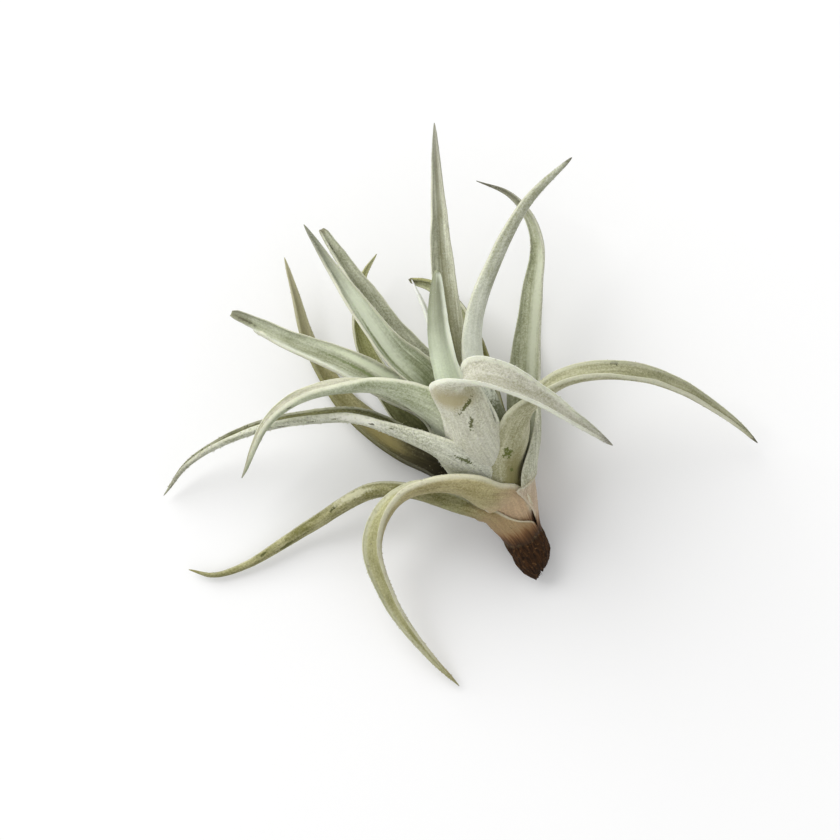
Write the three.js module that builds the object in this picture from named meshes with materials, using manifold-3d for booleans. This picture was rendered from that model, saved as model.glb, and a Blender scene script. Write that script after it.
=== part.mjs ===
// Air plant: a short leafy stem with long, channelled, silvery leaves that curl back on themselves.
// It was picked and laid on a table. Millimetres, +Z up; seen from above as in a picture, +X is to
// the right and +Y is up. Every leaf is one piece: a broad sheath that wraps the stem, and a blade.
import * as THREE from 'three';
import { mergeVertices } from 'three/addons/utils/BufferGeometryUtils.js';
import Module from 'manifold-3d';

const wasm = await Module();
wasm.setup();

// ---- the stem ----
const STEM_END = new THREE.Vector3(41, -51.5, 4.7); // middle of the broken lower end
const STEM_DIRECTION = new THREE.Vector3(-0.396, 0.821, 0.41).normalize(); // towards the growing tip
const STUB_LENGTH = 17; // dead brown part, with no live leaves on it
const STUB_RADIUS = 7;
const CORE_RADIUS = 6; // live part, just above the stub
const CORE_TIP_RADIUS = 1.4;
const CORE_LENGTH = 31; // live part, from the stub to the growing tip
const STEM_SIDES = 16;
// The stem's outline as [radius, distance from its end], knobbly where old leaves have come off.
const STEM_OUTLINE = [
  [0, -1.5], [3, -0.8], [STUB_RADIUS - 1.6, 0], [STUB_RADIUS - 0.4, 1.5], [STUB_RADIUS, 5],
  [STUB_RADIUS - 0.5, 9], [STUB_RADIUS, 13], [STUB_RADIUS - 0.3, STUB_LENGTH - 1],
  [CORE_RADIUS, STUB_LENGTH], [CORE_TIP_RADIUS, STUB_LENGTH + CORE_LENGTH],
  [0, STUB_LENGTH + CORE_LENGTH + 1],
];

// ---- how the sheaths are packed round the stem ----
const SHEATH_SLOPE = 0.32; // a sheath moves out from the stem by this much for each mm along it
const SHEATH_THICKNESS = 1;
const RING_PITCH = 1.45; // from the middle of one sheath to the middle of the next, across the stem
const GAP = 0.3; // clearance between neighbouring pieces

// ---- what all leaves have in common ----
const EDGE_THICKNESS = 0.65;
const BLADE_THICKNESS = 1.9; // along the middle, where the blade begins
const TIP_THICKNESS = 1;
const TIP_WIDTH = 1.5; // unless the leaf's tip has broken off
const TAPER_POWER = 0.78; // below 1 the blade stays broad and narrows late
const BASE_CHANNEL = 48; // half of the channel's bend where the blade begins, degrees
const TIP_CHANNEL = 78;
const BEND_START = 0.7; // where a sheath begins to change into a blade, as a share of its length
const BEND_END = 1.5; // where the change is complete, counted in the same way
const BLADE_TURN = 20; // mm of blade in which the channel stops facing the stem
const TIGHTEST_BEND = 0.8; // most that a narrow blade bends, times its width over its thickness
const ACROSS = 6; // facets across a leaf
const STEP = 8; // mm along a leaf from one cross-section to the next

// ---- where the plant lies ----
const PLANT_MIDDLE = new THREE.Vector3(13.74, 2.52, 0); // comes to the origin, on the table
const TABLE_SIZE = 400;
const TABLE_DEPTH = 20;
const SAME_POINT = 1e-3; // corners closer than this are one
const SLIVER = 0.03; // facets narrower than this go, where one piece was cut by another

const SILVER = new THREE.Color(0.62, 0.68, 0.58);
const OLIVE = new THREE.Color(0.45, 0.5, 0.33);
const BROWN = new THREE.Color(0.2, 0.12, 0.07);

// ---- the leaves; each gives way to those before it where they would cross ----
// around: where the sheath's middle is, degrees round the stem (0 faces up, 90 right, -90 left)
// ring: which ring of sheaths, 0 is the outermost and lowest; wrap: half of what it wraps, degrees
// sheath: length along the stem before the blade bends away; width: of the blade, laid flat;
// tip: width of a broken tip
// route: the blade's middle line after the sheath, from near the stem to the tip
// opens: which way the channel faces, at even steps from the start of the blade to the tip
const LEAVES = {
  leaf_front_arch: {
    around: 2, ring: 1, sheath: 14, width: 17.5, wrap: 60,
    opens: [[0, 0.5, -0.85], [-0.1, 0.8, -0.4], [-0.6, 0.6, 0.5], [-0.6, 0.1, 0.8], [-0.6, 0, 0.8]],
    route: [[22, -25.5, 36], [11.5, -23, 38], [3.5, -23, 37], [-4.5, -25.5, 34], [-10, -31, 31],
      [-14.5, -43.5, 23], [-9.5, -60.5, 15], [4, -81, 6], [13.5, -91.5, 2]],
  },
  leaf_right_arch: {
    around: 32, ring: 2, sheath: 22, width: 17.5, wrap: 52,
    opens: [[-0.5, 0.4, -0.7], [-0.2, 0.9, 0.2], [0.3, 0.7, 0.6], [0.4, 0.5, 0.75], [0.4, 0.5, 0.75]],
    route: [[33, -4, 42], [35.5, 2, 45], [40, 7, 48], [47.5, 12, 48], [59, 14.5, 46], [72.5, 14, 41],
      [86.5, 10, 32], [99, 3.5, 22], [109, -3, 13], [115.5, -8, 5]],
  },
  leaf_left_long: {
    around: -38, ring: 2, sheath: 22, width: 18.5, wrap: 52,
    opens: [[0.3, 0.6, -0.6], [0, 0.95, 0.15], [-0.1, 0.9, 0.4], [-0.3, 0.85, 0.4]],
    route: [[6.5, -12, 39], [-6.5, -5.5, 38], [-20, -0.5, 36], [-33.5, 0, 32], [-57, -4, 22],
      [-78.5, -15, 11], [-88, -26, 4]],
  },
  leaf_front_hook: {
    around: -8, ring: 3, sheath: 24, width: 25, wrap: 56, step: 5,
    opens: [[0, 0.4, -0.9], [0, 0.9, -0.2], [0.1, 0.6, 0.8], [0.3, 0.55, 0.8], [0.3, 0.6, 0.75]],
    route: [[17, -7, 47], [13.5, 0, 54], [10.5, 5, 59], [11.5, 10.5, 63], [17, 13, 65], [25.5, 12, 65],
      [39, 6, 60], [52.5, -2, 51], [63.5, -8.5, 42]],
  },
  leaf_low_left: {
    around: -45, color: OLIVE, ring: 0, sheath: 12, width: 10.5, wrap: 72,
    opens: [[0, 0.4, -0.9], [0.2, 0.8, -0.5], [0, 0.4, -0.9], [0, 0.3, -0.95], [0, 0.3, -0.95]],
    route: [[18.5, -30.5, 26], [9.5, -28, 25], [-6.5, -24.5, 22], [-17, -25, 18], [-38, -37, 9],
      [-59.5, -50, 3.5], [-71, -53.5, 2.5], [-79.5, -51.5, 3]],
  },
  leaf_right_hook: {
    around: 115, ring: 0, sheath: 22, width: 19, wrap: 55,
    opens: [[-0.6, 0, 0.8], [-0.4, 0, 0.9], [-0.3, -0.3, 0.9]],
    route: [[37.5, -3.5, 22], [37, 8.5, 24], [36.5, 20, 26], [37.5, 43.5, 30], [39, 59, 30], [36, 69, 28],
      [29.5, 76, 25], [19, 80.5, 22]],
  },
  leaf_left_arch: {
    around: -35, ring: 4, sheath: 22, width: 20, wrap: 50,
    opens: [[0.3, 0.4, -0.8], [0.1, 0.6, -0.6], [-0.1, 0.9, 0.2], [-0.6, 0.6, 0.5], [-0.8, 0.2, 0.5]],
    route: [[8, -1, 46], [0, 4.5, 49], [-6.5, 7.5, 50], [-15.5, 10, 50], [-36, 8, 45], [-49.5, -1, 36],
      [-60, -19.5, 22]],
  },
  leaf_short: {
    around: -10, ring: 6, sheath: 18, width: 16, wrap: 50,
    opens: [[-0.3, 0.3, -0.85]],
    route: [[12.5, 6.5, 48], [8.5, 16, 53], [6, 27.5, 58], [5, 48, 66]],
  },
  leaf_right_lean: {
    around: 50, ring: 4, sheath: 22, width: 13.5, wrap: 50,
    opens: [[-0.8, 0, -0.6], [-0.6, 0.3, -0.6], [-0.5, 0.5, -0.6]],
    route: [[20.5, 13, 47], [18.5, 23, 51], [19, 33, 54], [23.5, 47.5, 58], [34.5, 69, 61], [49, 84.5, 60]],
  },
  leaf_left_trough: {
    around: -115, ring: 3, sheath: 20, width: 20, tip: 4.5, wrap: 50,
    opens: [[0.4, 0.4, 0.8], [0.1, 0.2, 0.95]],
    route: [[3.5, 3, 30], [-10, 10, 34], [-23, 17, 36], [-43, 25.5, 35], [-63, 35, 32]],
  },
  leaf_upper_left: {
    around: -95, ring: 5, sheath: 20, width: 20, wrap: 50,
    opens: [[0.6, 0.4, 0.6], [0.3, 0.2, 0.9]],
    route: [[4, 10, 41], [-8, 23, 47], [-23.5, 42, 54], [-37.5, 63, 59]],
  },
  leaf_pale: {
    around: -60, ring: 7, sheath: 16, width: 11, wrap: 45,
    opens: [[0.9, 0.2, 0.3]],
    route: [[10, 8, 44], [5.5, 22, 50], [1.5, 35, 54], [-2.5, 45.5, 56]],
  },
  leaf_tall: {
    around: 170, ring: 6, sheath: 18, width: 19, wrap: 50,
    opens: [[0, -0.4, 0.9]],
    route: [[12.5, 16.5, 33], [9.5, 29.5, 38], [7, 55.5, 45], [5.5, 83, 49], [4.5, 97, 48]],
  },
  leaf_upper_left_back: {
    around: -140, ring: 5, sheath: 18, width: 17, tip: 3.5, wrap: 50,
    opens: [[0.4, 0.3, 0.85]],
    route: [[2, 15, 33], [-10.5, 31, 35], [-28.5, 56, 36], [-33, 63, 35]],
  },
  leaf_rear_tip: {
    around: 100, ring: 5, sheath: 18, width: 12, wrap: 50,
    opens: [[-0.5, -0.2, 0.8]],
    route: [[26, 5, 27], [23.5, 17, 30], [20.5, 28.5, 31]],
  },
  leaf_low_s: {
    around: -140, color: OLIVE, ring: 1, sheath: 14, width: 19, wrap: 52,
    opens: [[0.3, 0.6, 0.7], [0.4, 0.5, 0.75], [0.5, 0.3, 0.8], [0.5, 0, 0.85]],
    route: [[7, -17, 8], [-7.5, -10.5, 2.8], [-26.5, 5.5, 2], [-38, 24.5, 6], [-43, 44, 12], [-46, 55, 15]],
  },
  leaf_low_up: {
    around: 180, color: OLIVE, ring: 3, sheath: 18, width: 17, wrap: 50,
    opens: [[0.3, -0.3, 0.9]],
    route: [[-1.5, -1, 11], [-15, 16, 8], [-20, 27.5, 8], [-21, 39, 10], [-19, 49, 14], [-14.5, 56, 17]],
  },
  leaf_curl_back: {
    around: 140, color: OLIVE, ring: 4, sheath: 20, width: 13, wrap: 50,
    opens: [[-0.4, -0.3, 0.85], [-0.3, -0.6, 0.7]],
    route: [[20.5, 13.5, 18], [18.5, 25.5, 17], [15, 35, 16], [9.5, 42.5, 15], [3.5, 46.5, 13], [-4, 48, 11]],
  },
  leaf_rear_right: {
    around: 160, color: OLIVE, ring: 1, sheath: 16, width: 15, wrap: 50,
    opens: [[-0.3, -0.1, 0.9]],
    route: [[35.5, -3.5, 12], [37, 13.5, 5], [38, 29, 0.3], [38, 46.5, 3]],
  },
  leaf_rear: {
    around: -170, color: OLIVE, ring: 2, sheath: 18, width: 15, wrap: 50,
    opens: [[-0.3, -0.1, 0.9]],
    route: [[19.5, -3.5, 12], [14.5, 15.5, 6], [11, 31, 4], [9.5, 44.5, 4]],
  },
};

const UP_SIDE = new THREE.Vector3(0, 0, 1).projectOnPlane(STEM_DIRECTION).normalize();
const RIGHT_SIDE = STEM_DIRECTION.clone().cross(UP_SIDE);

function between(start, end, share) {
  return start + (end - start) * share;
}

// The direction straight away from the stem, at an angle round it.
function outward(around) {
  const angle = THREE.MathUtils.degToRad(around);
  return UP_SIDE.clone().multiplyScalar(Math.cos(angle)).addScaledVector(RIGHT_SIDE, Math.sin(angle));
}

function besideStem(along, out, around) {
  return STEM_END.clone().addScaledVector(STEM_DIRECTION, along).addScaledVector(outward(around), out);
}

function coreRadius(along) {
  return between(CORE_RADIUS, CORE_TIP_RADIUS, (along - STUB_LENGTH) / CORE_LENGTH);
}

// Rings start so far apart along the stem that each sheath lies outside those of the next ring.
function ringLevel(ring) {
  const taper = (CORE_RADIUS - CORE_TIP_RADIUS) / CORE_LENGTH;
  return STUB_LENGTH + 2 * GAP + ring * RING_PITCH / (SHEATH_SLOPE + taper);
}

function sheathRadius(leaf, along) {
  return coreRadius(ringLevel(leaf.ring)) + GAP + SHEATH_THICKNESS / 2 + along * SHEATH_SLOPE;
}

// The middle line of a leaf: straight up the cone of its sheath, then along its own route.
function leafLine(leaf) {
  const points = [];
  for (const share of [0, 0.5, 1]) {
    const along = share * leaf.sheath;
    points.push(besideStem(ringLevel(leaf.ring) + along, sheathRadius(leaf, along), leaf.around));
  }
  for (const point of leaf.route) {
    points.push(new THREE.Vector3(...point));
  }
  return new THREE.CatmullRomCurve3(points, false, 'centripetal');
}

// The direction that a blade's channel faces, at a share of the way from its start to its tip.
function channelDirection(opens, share) {
  const place = share * (opens.length - 1);
  const before = Math.floor(place);
  const after = Math.min(before + 1, opens.length - 1);
  const start = new THREE.Vector3(...opens[before]);
  return start.lerp(new THREE.Vector3(...opens[after]), place - before).normalize();
}

// Where a leaf's middle line is, which way it runs and which way the leaf faces, at a distance
// along it. The sheath faces the stem, and the blade's channel opens on its own side.
function leafFrame(leaf, line, along) {
  const length = line.getLength();
  const ahead = line.getTangentAt(along / length);
  const towardsStem = outward(leaf.around).negate();
  const bladePart = THREE.MathUtils.clamp((along - leaf.sheath) / (length - leaf.sheath), 0, 1);
  const turned = THREE.MathUtils.smoothstep(along, BEND_START * leaf.sheath, leaf.sheath + BLADE_TURN);
  const inward = towardsStem.clone().lerp(channelDirection(leaf.opens, bladePart), turned);
  inward.projectOnPlane(ahead).normalize();
  return {
    middle: line.getPointAt(along / length),
    ahead,
    inward: towardsStem.lerp(inward, bladeShare(leaf, along)).normalize(),
  };
}

// From 0 in the sheath to 1 in the blade.
function bladeShare(leaf, along) {
  return THREE.MathUtils.smoothstep(along, BEND_START * leaf.sheath, BEND_END * leaf.sheath);
}

// How wide, thick and bent a leaf is at a distance along it.
function leafShape(leaf, length, along) {
  const blade = bladeShare(leaf, along);
  const left = THREE.MathUtils.clamp((length - along) / (length - leaf.sheath), 0, 1);
  const radius = sheathRadius(leaf, along);
  const wrapped = 2 * THREE.MathUtils.degToRad(leaf.wrap) * radius;
  const bladeWidth = between(leaf.tip ?? TIP_WIDTH, leaf.width, left ** TAPER_POWER);
  const width = between(wrapped, bladeWidth, blade);
  const bladeThickness = between(TIP_THICKNESS, BLADE_THICKNESS, left);
  const thickness = between(SHEATH_THICKNESS, bladeThickness, blade);
  const channel = THREE.MathUtils.degToRad(between(TIP_CHANNEL, BASE_CHANNEL, left));
  const bladeBend = Math.min(channel, TIGHTEST_BEND * width / thickness);
  return { width, thickness, bend: between(width / (2 * radius), bladeBend, blade) };
}

// One closed cross-section: the outer face from edge to edge, then the inner face back again.
// spare makes it that much bigger all round.
function leafSection(frame, shape, spare) {
  const radius = shape.width / (2 * shape.bend);
  const bend = shape.bend * (1 + 2 * spare / shape.width);
  const across = frame.ahead.clone().cross(frame.inward).normalize();
  const points = [];
  for (const face of [1, -1]) {
    for (let j = 0; j <= ACROSS; j += 1) {
      const share = face * (2 * j / ACROSS - 1);
      const half = between(EDGE_THICKNESS, shape.thickness, 1 - share * share) / 2 + spare;
      const reach = radius + face * half;
      const sideways = reach * Math.sin(bend * share);
      const up = radius - reach * Math.cos(bend * share);
      points.push(frame.middle.clone().addScaledVector(across, sideways).addScaledVector(frame.inward, up));
    }
  }
  return points;
}

// Joins cross-sections into one closed surface, with a flat cap on each end.
function loft(sections) {
  const size = sections[0].length;
  const positions = sections.flat().flatMap((point) => point.toArray());
  const faces = [];
  for (let i = 0; i + 1 < sections.length; i += 1) {
    for (let j = 0; j < size; j += 1) {
      const a = i * size + j;
      const b = i * size + (j + 1) % size;
      faces.push(a, a + size, b, b, a + size, b + size);
    }
  }
  const last = (sections.length - 1) * size;
  for (let j = 0; j + 1 < size / 2; j += 1) {
    const outer = [j, j + 1];
    const inner = [size - 1 - j, size - 2 - j];
    faces.push(outer[0], outer[1], inner[1], outer[0], inner[1], inner[0]);
    faces.push(last + inner[1], last + outer[1], last + outer[0]);
    faces.push(last + inner[0], last + inner[1], last + outer[0]);
  }
  const geometry = new THREE.BufferGeometry();
  geometry.setAttribute('position', new THREE.Float32BufferAttribute(positions, 3));
  geometry.setIndex(faces);
  return geometry;
}

// spare makes the leaf that much bigger all over, to cut its neighbours clear of it.
function leafGeometry(leaf, spare = 0) {
  const line = leafLine(leaf);
  const length = line.getLength();
  const count = Math.ceil(length / (leaf.step ?? STEP));
  const sections = [];
  for (let i = 0; i <= count; i += 1) {
    const along = length * i / count;
    sections.push(leafSection(leafFrame(leaf, line, along), leafShape(leaf, length, along), spare));
  }
  return loft(sections);
}

// The stem as a turned body along its own axis.
function stemGeometry() {
  const outline = STEM_OUTLINE.map(([radius, along]) => new THREE.Vector2(radius, along));
  const geometry = new THREE.LatheGeometry(outline, STEM_SIDES);
  const turn = new THREE.Quaternion().setFromUnitVectors(new THREE.Vector3(0, 1, 0), STEM_DIRECTION);
  geometry.applyQuaternion(turn);
  geometry.translate(...STEM_END.toArray());
  return geometry;
}

function solidFrom(geometry) {
  const bare = geometry.clone();
  bare.deleteAttribute('normal');
  bare.deleteAttribute('uv');
  const merged = mergeVertices(bare, SAME_POINT);
  return new wasm.Manifold(new wasm.Mesh({
    numProp: 3,
    vertProperties: merged.attributes.position.array,
    triVerts: new Uint32Array(merged.index.array),
  }));
}

function geometryFrom(solid) {
  const mesh = solid.getMesh();
  const geometry = new THREE.BufferGeometry();
  geometry.setAttribute('position', new THREE.BufferAttribute(mesh.vertProperties, mesh.numProp));
  geometry.setIndex(new THREE.BufferAttribute(mesh.triVerts, 1));
  return geometry;
}

// What would reach below the table is cut flat where the plant rests on it.
function tableSolid() {
  const slab = new THREE.BoxGeometry(TABLE_SIZE, TABLE_SIZE, TABLE_DEPTH);
  slab.translate(0, 0, -TABLE_DEPTH / 2);
  return solidFrom(slab);
}

function largestPiece(solid) {
  const pieces = solid.decompose();
  pieces.sort((a, b) => b.volume() - a.volume());
  return pieces[0];
}

// What is left of a piece after the cuts, without loose scraps and slivers.
function cleaned(solid) {
  const smooth = largestPiece(solid).asOriginal().simplify(SLIVER);
  return largestPiece(solidFrom(geometryFrom(smooth)));
}

function pieceMesh(name, solid, color) {
  const placed = cleaned(solid.translate(PLANT_MIDDLE.clone().negate().toArray()));
  const material = new THREE.MeshStandardMaterial({ color, roughness: 0.85, metalness: 0 });
  const mesh = new THREE.Mesh(geometryFrom(placed), material);
  mesh.name = name;
  return mesh;
}

const plant = new THREE.Group();
const table = tableSolid();
const stem = solidFrom(stemGeometry()).subtract(table);
plant.add(pieceMesh('stem', stem, BROWN));
const cutters = [table];
for (const [name, leaf] of Object.entries(LEAVES)) {
  let solid = solidFrom(leafGeometry(leaf));
  for (const cutter of cutters) {
    solid = solid.subtract(cutter);
  }
  plant.add(pieceMesh(name, solid, leaf.color ?? SILVER));
  cutters.push(solidFrom(leafGeometry(leaf, GAP)));
}

export default plant;
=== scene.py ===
# %% [markdown]
# # An air plant, leaf by leaf
#
# An air plant grows without soil. A short stem carries all of its leaves, and each leaf has two parts:
# a broad **sheath** that wraps the stem, and a long **blade** bent into a gutter, which leads rain down
# to the sheath. Fine scales cover the whole leaf and make it silvery. This plant was picked and laid on
# a pale table, and the camera looks straight down on it.
#
# The packed model already holds a plain solid for the stem and for each leaf, in metres, with the table
# at a height of zero. Each of them is replaced here by a finer mesh with the same middle line and bend,
# and nearly the same width, so nothing has to be fitted by eye.

# %% Load the packed model
import math

import bpy
import numpy as np
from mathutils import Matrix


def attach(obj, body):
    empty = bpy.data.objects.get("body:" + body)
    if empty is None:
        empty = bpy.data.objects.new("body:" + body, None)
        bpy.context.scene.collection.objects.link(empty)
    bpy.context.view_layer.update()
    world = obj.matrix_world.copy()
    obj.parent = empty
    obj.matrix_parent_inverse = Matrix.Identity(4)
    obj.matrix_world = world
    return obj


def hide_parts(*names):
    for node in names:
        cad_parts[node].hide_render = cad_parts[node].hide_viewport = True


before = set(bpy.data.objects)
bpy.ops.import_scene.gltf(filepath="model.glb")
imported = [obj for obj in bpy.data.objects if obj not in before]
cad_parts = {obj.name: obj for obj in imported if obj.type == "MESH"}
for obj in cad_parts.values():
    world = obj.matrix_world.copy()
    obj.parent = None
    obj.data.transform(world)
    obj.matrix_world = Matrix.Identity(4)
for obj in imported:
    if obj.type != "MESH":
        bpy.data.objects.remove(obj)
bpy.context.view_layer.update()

# %% [markdown]
# ## The measurements
#
# Lengths are easiest to think about in millimetres, so everything is worked out in millimetres and only
# turned into metres when a mesh is made. The numbers are the ones that the solids were made from.

# %% Measurements of the stem and the sheaths
MM = 0.001
PLANT_MIDDLE = np.array([13.74, 2.52, 0.0])  # this point comes to the origin
STEM_END = np.array([41.0, -51.5, 4.7])
STEM_DIRECTION = np.array([-0.396, 0.821, 0.41])
STEM_DIRECTION /= np.linalg.norm(STEM_DIRECTION)
STUB_LENGTH = 17.0  # the dead part of the stem, below the leaves
CORE_RADIUS, CORE_TIP_RADIUS, CORE_LENGTH = 6.0, 1.4, 31.0  # the live part, which the sheaths wrap
SHEATH_SLOPE, SHEATH_THICKNESS = 0.32, 1.0
RING_PITCH, GAP = 1.45, 0.3  # from one ring of sheaths to the next, and the air between two of them
BLADE_THICKNESS, TIP_THICKNESS = 1.9, 0.9
BASE_CHANNEL, TIP_CHANNEL = math.radians(48), math.radians(78)  # half of the gutter's arc
BEND_START, BEND_END = 0.7, 1.5  # in sheath lengths: between these the sheath becomes a blade
BLADE_TURN, TIGHTEST_BEND = 20.0, 0.8
ABOVE_TABLE = 0.02  # no leaf comes closer to the table
print("the whole stem is", STUB_LENGTH + CORE_LENGTH, "mm long")

# %% [markdown]
# ## What tells one leaf from another
#
# All leaves of the plant grow alike and differ only in measure. Each could be modelled on its own, but a
# few words for each leaf are easier to compare with a photo and to correct:
#
# - `around` is where the leaf stands round the stem, `ring` how far up the stem it starts, `sheath` how
#   long it hugs the stem, and `wrap` how many degrees it reaches round it to each side,
# - `route` is the middle line of the blade, and `opens` the side to which its gutter opens, at even steps
#   from the sheath to the tip,
# - `width`, `taper`, `crease`, `curl` and `roll` shape the section: how wide and how quickly narrower,
#   how sharply folded along the middle, and how far the gutter and its margins roll in,
# - `hug`, `widens` and `wider` bring one margin further out or in along a part of the leaf, and `flare`
#   lifts a margin of the sheath off the stem,
# - `tip` and `torn` make a tip blunt or torn, and `scurf` is how large its scales stand.

# %% The long arching leaves
LEAVES = {
    "leaf_front_arch": dict(
      around=2, ring=1, sheath=14, width=17.5, wrap=60, hug=((0.95, 0.55), 1), flare=(1.7, 0), scurf=1.4,
      opens=[[0, 0.5, -0.85], [-0.2, 0.9, -0.1], [-0.5, 0.3, 0.8], [-0.5, 0, 0.85], [-0.5, 0, 0.85]],
      route=[[22, -25.5, 36], [11.5, -23, 38], [3.5, -23, 37], [-4.5, -25.5, 34], [-10, -31, 31],
        [-14.5, -43.5, 23], [-9.5, -60.5, 15], [4, -81, 6], [13.5, -91.5, 2]],
    ),
    "leaf_right_arch": dict(
      around=32, ring=2, sheath=22, width=17.5, wrap=52, hug=(1.66, 1.25), flare=(0, 1.5), crease=0.6,
      opens=[[-0.5, 0.4, -0.7], [-0.2, 0.9, 0.2], [0.3, 0.7, 0.6], [0.4, 0.5, 0.75], [0.4, 0.5, 0.75]],
      route=[[33, -4, 42], [35.5, 2, 45], [40, 7, 48], [47.5, 12, 48], [59, 14.5, 46], [72.5, 14, 41],
        [86.5, 10, 32], [99, 3.5, 22], [109, -3, 13], [115.5, -8, 5]],
    ),
    "leaf_left_long": dict(
      around=-38, ring=2, sheath=22, width=18.5, wrap=52, hug=((0.3, 0.95), 1),
      widens=(17, 28), scurf=1.7,
      opens=[[0.3, 0.6, -0.6], [0, 0.95, 0.15], [-0.1, 0.9, 0.4], [-0.3, 0.85, 0.4]],
      route=[[8, -12.5, 41], [-6.5, -5.5, 38.5], [-20, -0.5, 36], [-33.5, 0, 32], [-57, -4, 22],
        [-78.5, -15, 11], [-88, -26, 4]],
    ),
    "leaf_front_hook": dict(
      around=-8, ring=3, sheath=24, width=25, wrap=56, scurf=1.4,
      wider={0: (32, 44, 59, 66, 0.16), 1: (32, 44, 57, 63, 0.2)},
      opens=[[0, 0.4, -0.9], [0, 0.9, -0.2], [0.1, 0.6, 0.8], [0.3, 0.55, 0.8], [0.3, 0.6, 0.75]],
      route=[[17, -7, 47], [13.8, 0, 54], [11.7, 5, 59], [12.6, 10.5, 63], [17.6, 13, 65], [25.5, 12, 65],
        [39, 6, 60], [52.5, -2, 51], [63.5, -8.5, 42]],
    ),
    "leaf_low_left": dict(
      around=-45, ring=0, sheath=12, width=10.5, wrap=72, hug=((1.32, 0.45), 1), taper=0.67,
      opens=[[0, 0.4, -0.9], [0.2, 0.8, -0.5], [0, 0.4, -0.9], [0, 0.3, -0.95], [0, 0.3, -0.95]],
      route=[[18.5, -30.5, 26], [9.5, -28, 25], [-6.5, -24.5, 22], [-17, -25, 18], [-38, -37, 9],
        [-59.5, -50, 3.5], [-71, -53.5, 2.5], [-79.5, -51.5, 3]],
    ),
    "leaf_right_hook": dict(
      around=115, ring=0, sheath=22, width=21, wrap=55, hug=(1, (1.1, 1.75)), taper=1.05,
      wider={1: (23, 31, 40, 54, 0.2)},
      opens=[[-0.85, -0.1, 0.5], [-0.5, 0, 0.85], [-0.4, 0, 0.9], [-0.3, -0.3, 0.9]],
      route=[[37.5, -3.5, 22], [37, 8.5, 24], [36.8, 20, 26], [38.2, 43.5, 30], [39.4, 59, 30],
        [36, 69, 28], [29.5, 76, 25], [19, 80.5, 22]],
    ),
    "leaf_left_arch": dict(
      around=-35, ring=4, sheath=22, width=20, wrap=50,
      opens=[[0.3, 0.4, -0.8], [0.1, 0.6, -0.6], [-0.1, 0.9, 0.2], [-0.6, 0.6, 0.5], [-0.8, 0.2, 0.5]],
      route=[[8, -1, 46], [0, 4.5, 49], [-6.5, 7.5, 50], [-15.5, 10, 50], [-36, 8, 45], [-49.5, -1, 36],
        [-60, -19.5, 22]],
    ),
}
print("long arching leaves:", len(LEAVES))

# %% The upright leaves
LEAVES |= {
    "leaf_short": dict(
      around=-10, ring=6, sheath=18, width=10.8, wrap=50, taper=0.45, curl=0.7, roll=-1.0,
      opens=[[-0.12, 0.3, -0.9]],
      route=[[12.5, 6.5, 48], [8.5, 16, 53], [6, 27.5, 58], [5, 48, 66]],
    ),
    "leaf_right_lean": dict(
      around=50, ring=4, sheath=22, width=13.5, wrap=50, taper=0.6,
      opens=[[-0.8, 0, -0.6], [-0.6, 0.3, -0.6], [-0.5, 0.5, -0.6]],
      route=[[20.5, 13, 47], [18.5, 23, 51], [19, 33, 54], [23.5, 47.5, 58], [34.5, 69, 61],
        [49, 84.5, 60]],
    ),
    "leaf_left_trough": dict(
      around=-115, ring=3, sheath=20, width=20, tip=4.5, wrap=50, crease=0.9, torn={0: (10.5, 0.45)},
      opens=[[0.4, 0.4, 0.8], [0.1, 0.2, 0.95]],
      route=[[3.5, 3, 30], [-10, 10, 34], [-23, 17, 36], [-43, 25.5, 35], [-63, 35, 32]],
    ),
    "leaf_upper_left": dict(
      around=-95, ring=5, sheath=20, width=21.5, wrap=50, crease=1.1, wider={0: (24, 33, 42, 50, -0.3)},
      opens=[[0.3, 0.25, 0.85], [0.3, 0.2, 0.9]],
      route=[[4, 10, 41], [-9.4, 22.2, 47], [-24.1, 41.8, 54], [-37.5, 63, 59]],
    ),
    "leaf_pale": dict(
      around=-60, ring=7, sheath=16, width=11, wrap=45,
      opens=[[0.9, 0.2, 0.3]],
      route=[[10, 8, 44], [5.5, 22, 50], [1.5, 35, 54], [-2.5, 45.5, 56]],
    ),
    "leaf_tall": dict(
      around=170, ring=6, sheath=18, width=19, wrap=50, crease=0.7,
      opens=[[0, -0.4, 0.9]],
      route=[[12.5, 16.5, 33], [9.5, 29.5, 38], [7, 55.5, 45], [5.5, 83, 49], [4.5, 97, 48]],
    ),
    "leaf_upper_left_back": dict(
      around=-140, ring=5, sheath=18, width=17, tip=3.5, wrap=50, crease=0.9,
      opens=[[0.4, 0.3, 0.85]],
      route=[[2, 15, 33], [-10.5, 31, 35], [-28.5, 56, 36], [-33, 63, 35]],
    ),
}
print("with the upright ones:", len(LEAVES))

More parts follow.
